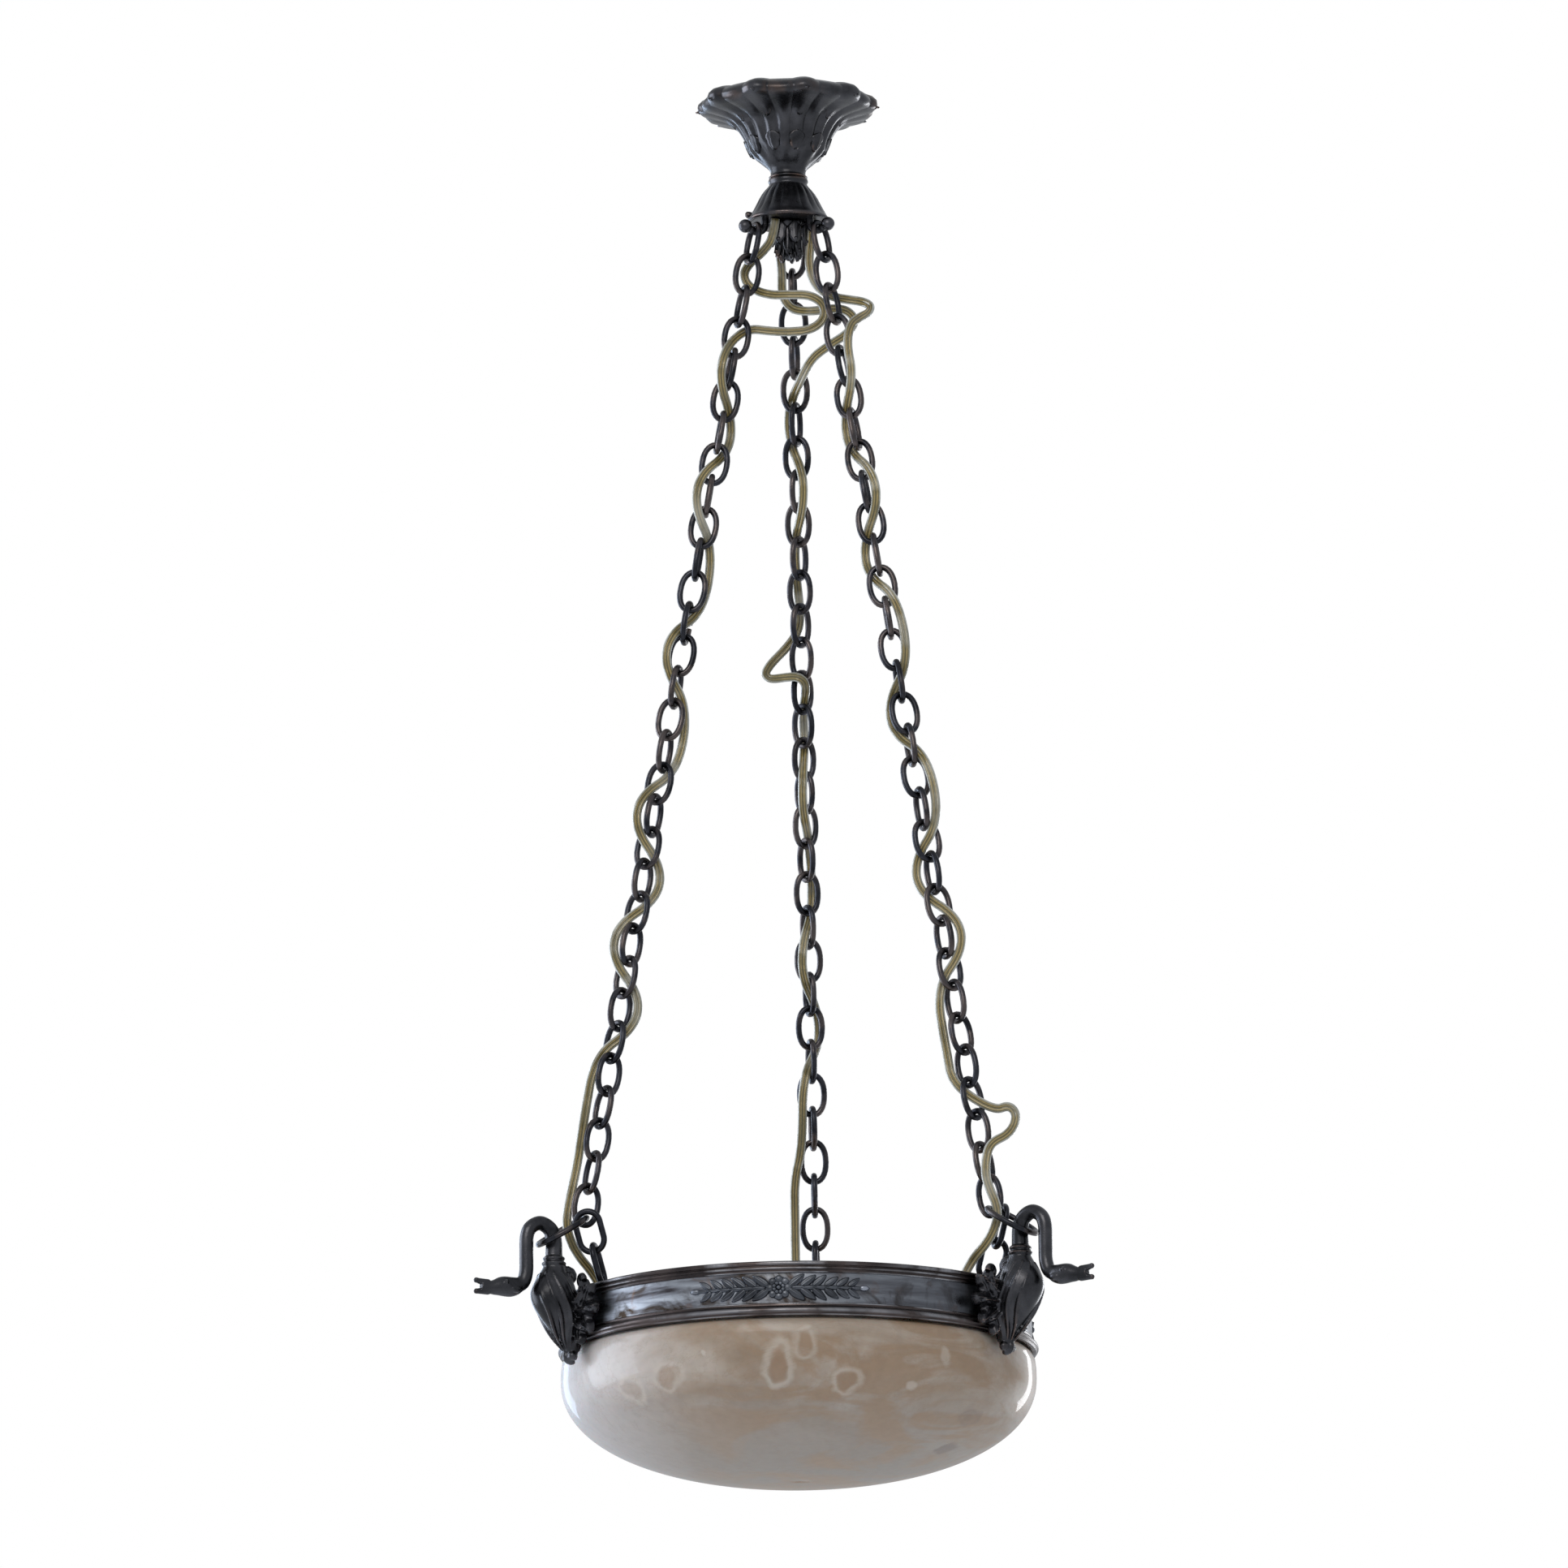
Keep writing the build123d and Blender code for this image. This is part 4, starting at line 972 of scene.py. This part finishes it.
# ------------------------------------------------------------- canopy and hub
def make_canopy():
    """A cast canopy: lobed rim, flutes that end in leaf tips, smooth neck and collar bead."""
    outer = [(50, -4.5), (55, -6.6), (57.4, -9), (58.2, -11.2), (57.6, -13.4), (55.4, -15.4),
             (50, -17.0), (44.5, -18.8), (40, -20.8), (36.6, -22.9), (33.8, -25.4), (31.6, -28),
             (30, -30.6), (28.8, -33), (27.6, -36), (26.4, -39.4), (24.6, -42.8), (21.6, -46.2),
             (18.4, -49.4), (15.2, -52.2), (12.6, -54.4), (11.6, -56.4), (11.5, -58.4),
             (11.9, -59.6), (12.8, -60.2), (12.6, -61)]
    inner = [(6, -61), (6, -41), (12.5, -41), (17, -41), (21.5, -37), (24, -30), (27, -24.5),
             (33, -18), (42, -13), (50, -10.5), (51, -7)]
    lobes, flutes, widest = 10, 20, 59.6

    def shape(radius, z, a):
        """Scallops on the rim, flutes on the flare and bosses over the neck."""
        wave = math.cos(lobes * a)
        groove = abs(math.cos(flutes * a / 2)) - 0.64
        rim = max(0.0, min(1.0, (radius - 34) / 20))
        middle = max(0.0, min(1.0, (radius - 23.5) / 6)) * (1 - rim)
        bosses = max(0.0, 1 - abs(z + 44.5) / 5.5) if radius > 14 else 0.0
        inside = (radius, z) in inner
        if inside:
            return radius, z
        swell = (0.022 * wave * rim + 0.075 * middle * groove + 0.035 * rim * groove
                 + 0.05 * bosses * math.cos(flutes * a / 1.5))
        drop = 1.3 * rim * (1 - wave) / 2
        return min(radius * (1 + swell), widest), z - drop

    parts = [lathe(outer + inner, 480, shape)]
    for a in circle(lobes):
        # a leaf tip that curls out where the flutes begin
        def tip(along, across, lift, a=a):
            t = along / 11
            radius = 27.6 - 2.6 * t - 2.4 * t * t + 0.5 * lift
            angle = a + across / 27
            return Vector((radius * math.cos(angle), radius * math.sin(angle), -34.5 - along))
        parts.append(leaf(tip, 11, 12, lobes=2, cut=0.2, thick=1.2, arch=1.4, curl=1.2,
                          rows=16, cols=8))

        # a long lobe from the flare out to the rim
        def rim_leaf(along, across, lift, a=a):
            t = along / 22
            radius = 34 + 23.5 * t
            height = -25.2 + 12.2 * (1 - (1 - t) ** 2)
            angle = a + across / radius
            return Vector(((radius + 0.3 * lift) * math.cos(angle),
                           (radius + 0.3 * lift) * math.sin(angle), height - 0.8 * lift))
        parts.append(leaf(rim_leaf, 22.5, 11, lobes=2, cut=0.12, thick=0.4, arch=0.7, curl=0.8,
                          rows=20, cols=8))
    make("canopy_cast", parts, "dark_bronze", "hub", "canopy")


def make_crown():
    """The ribbed bell under the canopy, with the knob of its set screw."""
    top = -61.0
    outer = [(11.8, 0), (12.9, -1.0), (13.2, -2.2), (12.7, -3.4), (12.4, -4.4), (13.6, -6.2),
             (15.6, -8.6), (17.5, -11.2), (19.4, -14.5), (21.0, -17.8), (22.6, -21), (24.5, -24.2),
             (26.0, -26.8), (27.3, -28), (27.4, -29.2), (26.6, -30)]
    inner = [(25.3, -30), (25.0, -27.4), (22.6, -24.6), (19.6, -19.4), (16.4, -13.6), (12.6, -9.4),
             (6, -8.4), (6, 0)]
    ribs = 20

    def shape(radius, z, a):
        """Ribs between the neck and the brim."""
        band = max(0.0, min(1.0, (-z - 5) / 4)) * max(0.0, min(1.0, (z + 26) / 4))
        if radius < 13:
            band = 0
        return radius * (1 + 0.035 * band * (abs(math.cos(ribs * a / 2)) - 0.6)), top + z

    knob = tube([(-23, -3, -85.6), (-25.6, -3.3, -85.6), (-27.4, -3.5, -85.6),
                 (-28.4, -3.6, -85.6)], [1.5, 2.2, 2.2, 1.0], 14)
    make("crown_cast", [lathe(outer + inner, 320, shape), knob], "dark_bronze", "hub",
         "hub_crown")


def make_finial():
    """The leafy drop under the hub: leaves that hang round a small pine cone."""
    base = -91.0
    core = [(0.3, base - 1), (12.0, base - 0.2), (11.6, base - 2.4), (9.4, base - 4.4),
            (8.6, base - 9), (7.6, base - 14), (5.8, base - 19), (3.6, base - 23),
            (1.4, base - 25.6), (0.3, base - 26)]

    parts = [lathe(core, 64, lambda r, z, a: (r * (1 + 0.05 * math.cos(8 * a)), z))]
    for row, (count, start, length, width, radius) in enumerate(
            ((6, -0.5, 14, 11, 10.2), (6, -4.5, 17, 8.5, 7.6), (5, -11, 14, 6.4, 4.6))):
        for k in range(count):
            a = 2 * math.pi * (k + 0.5 * row) / count

            def place(along, across, lift, a=a, start=start, radius=radius):
                r = radius - 0.10 * along + 0.8 * lift
                angle = a + across / max(3, radius)
                return Vector((r * math.cos(angle), r * math.sin(angle), base + start - along))
            parts.append(leaf(place, length, width, lobes=2, cut=0.2, thick=1.3, arch=1.3,
                              curl=2.6, rows=18, cols=8))
            end = place(length - 1.2, 0, 3.4)
            parts.append(ball(end, 1.7, 7))
    parts.append(ball((0, 0, base - 24.3), 1.7, 8))
    make("finial_cast", parts, "dark_bronze", "hub", "finial")


make_canopy()
make_crown()
make_finial()


# ------------------------------------------------------------- stage and light
def make_world():
    """White behind the object, softer white for light and reflections."""
    world = bpy.data.worlds.new("studio")
    bpy.context.scene.world = world
    world.use_nodes = True
    tree = world.node_tree
    tree.nodes.clear()
    out = tree.nodes.new("ShaderNodeOutputWorld")
    mix = tree.nodes.new("ShaderNodeMixShader")
    seen = tree.nodes.new("ShaderNodeBackground")
    light = tree.nodes.new("ShaderNodeBackground")
    path = tree.nodes.new("ShaderNodeLightPath")
    seen.inputs["Color"].default_value = (1, 1, 1, 1)
    seen.inputs["Strength"].default_value = 1.0
    light.inputs["Color"].default_value = (0.93, 0.96, 1, 1)
    light.inputs["Strength"].default_value = 0.55
    tree.links.new(path.outputs["Is Camera Ray"], mix.inputs[0])
    tree.links.new(light.outputs[0], mix.inputs[1])
    tree.links.new(seen.outputs[0], mix.inputs[2])
    tree.links.new(mix.outputs[0], out.inputs[0])
    bpy.context.scene.view_settings.view_transform = "Standard"


def make_light(name, place, aim, size, power, colour):
    """A rectangular lamp: place, aim and size in metres, power in watts."""
    data = bpy.data.lights.new(name, "AREA")
    data.shape = "RECTANGLE"
    data.size, data.size_y = size
    data.energy = power
    data.color = colour
    lamp = bpy.data.objects.new(name, data)
    bpy.context.scene.collection.objects.link(lamp)
    lamp.location = place
    lamp.rotation_euler = (Vector(aim) - Vector(place)).to_track_quat("-Z", "Y").to_euler()


def make_floor():
    """A plain pale floor well below the pendant."""
    size_m, floor_z_m = 30.0, -2.75
    mesh = bpy.data.meshes.new("floor")
    corners = [(-size_m, -size_m), (size_m, -size_m), (size_m, size_m), (-size_m, size_m)]
    mesh.from_pydata([(x, y, floor_z_m) for x, y in corners], [], [(0, 1, 2, 3)])
    floor = bpy.data.objects.new("floor", mesh)
    bpy.context.scene.collection.objects.link(floor)
    paint = Paint("pale_floor", Roughness=0.9)
    clouds = paint.ramp(paint.noise(3, 4), [(0.3, 0.90), (0.7, 0.92)])
    mesh.materials.append(paint.finish(clouds))


make_world()
make_floor()
lamp_middle = (0, 0, -0.5)
make_light("left_soft", (-2.4, 0.3, -0.4), lamp_middle, (1.6, 2.6), 46, (0.82, 0.89, 1.0))
make_light("left_rim", (-1.35, 2.1, -0.4), lamp_middle, (0.5, 1.6), 9, (0.60, 0.76, 1.0))
make_light("right_rim", (1.2, 2.4, -0.7), lamp_middle, (0.35, 1.4), 10, (0.95, 0.97, 1.0))
make_light("front_fill", (-0.5, -3.6, 1.2), lamp_middle, (2.4, 1.6), 38, (1.0, 0.96, 0.90))
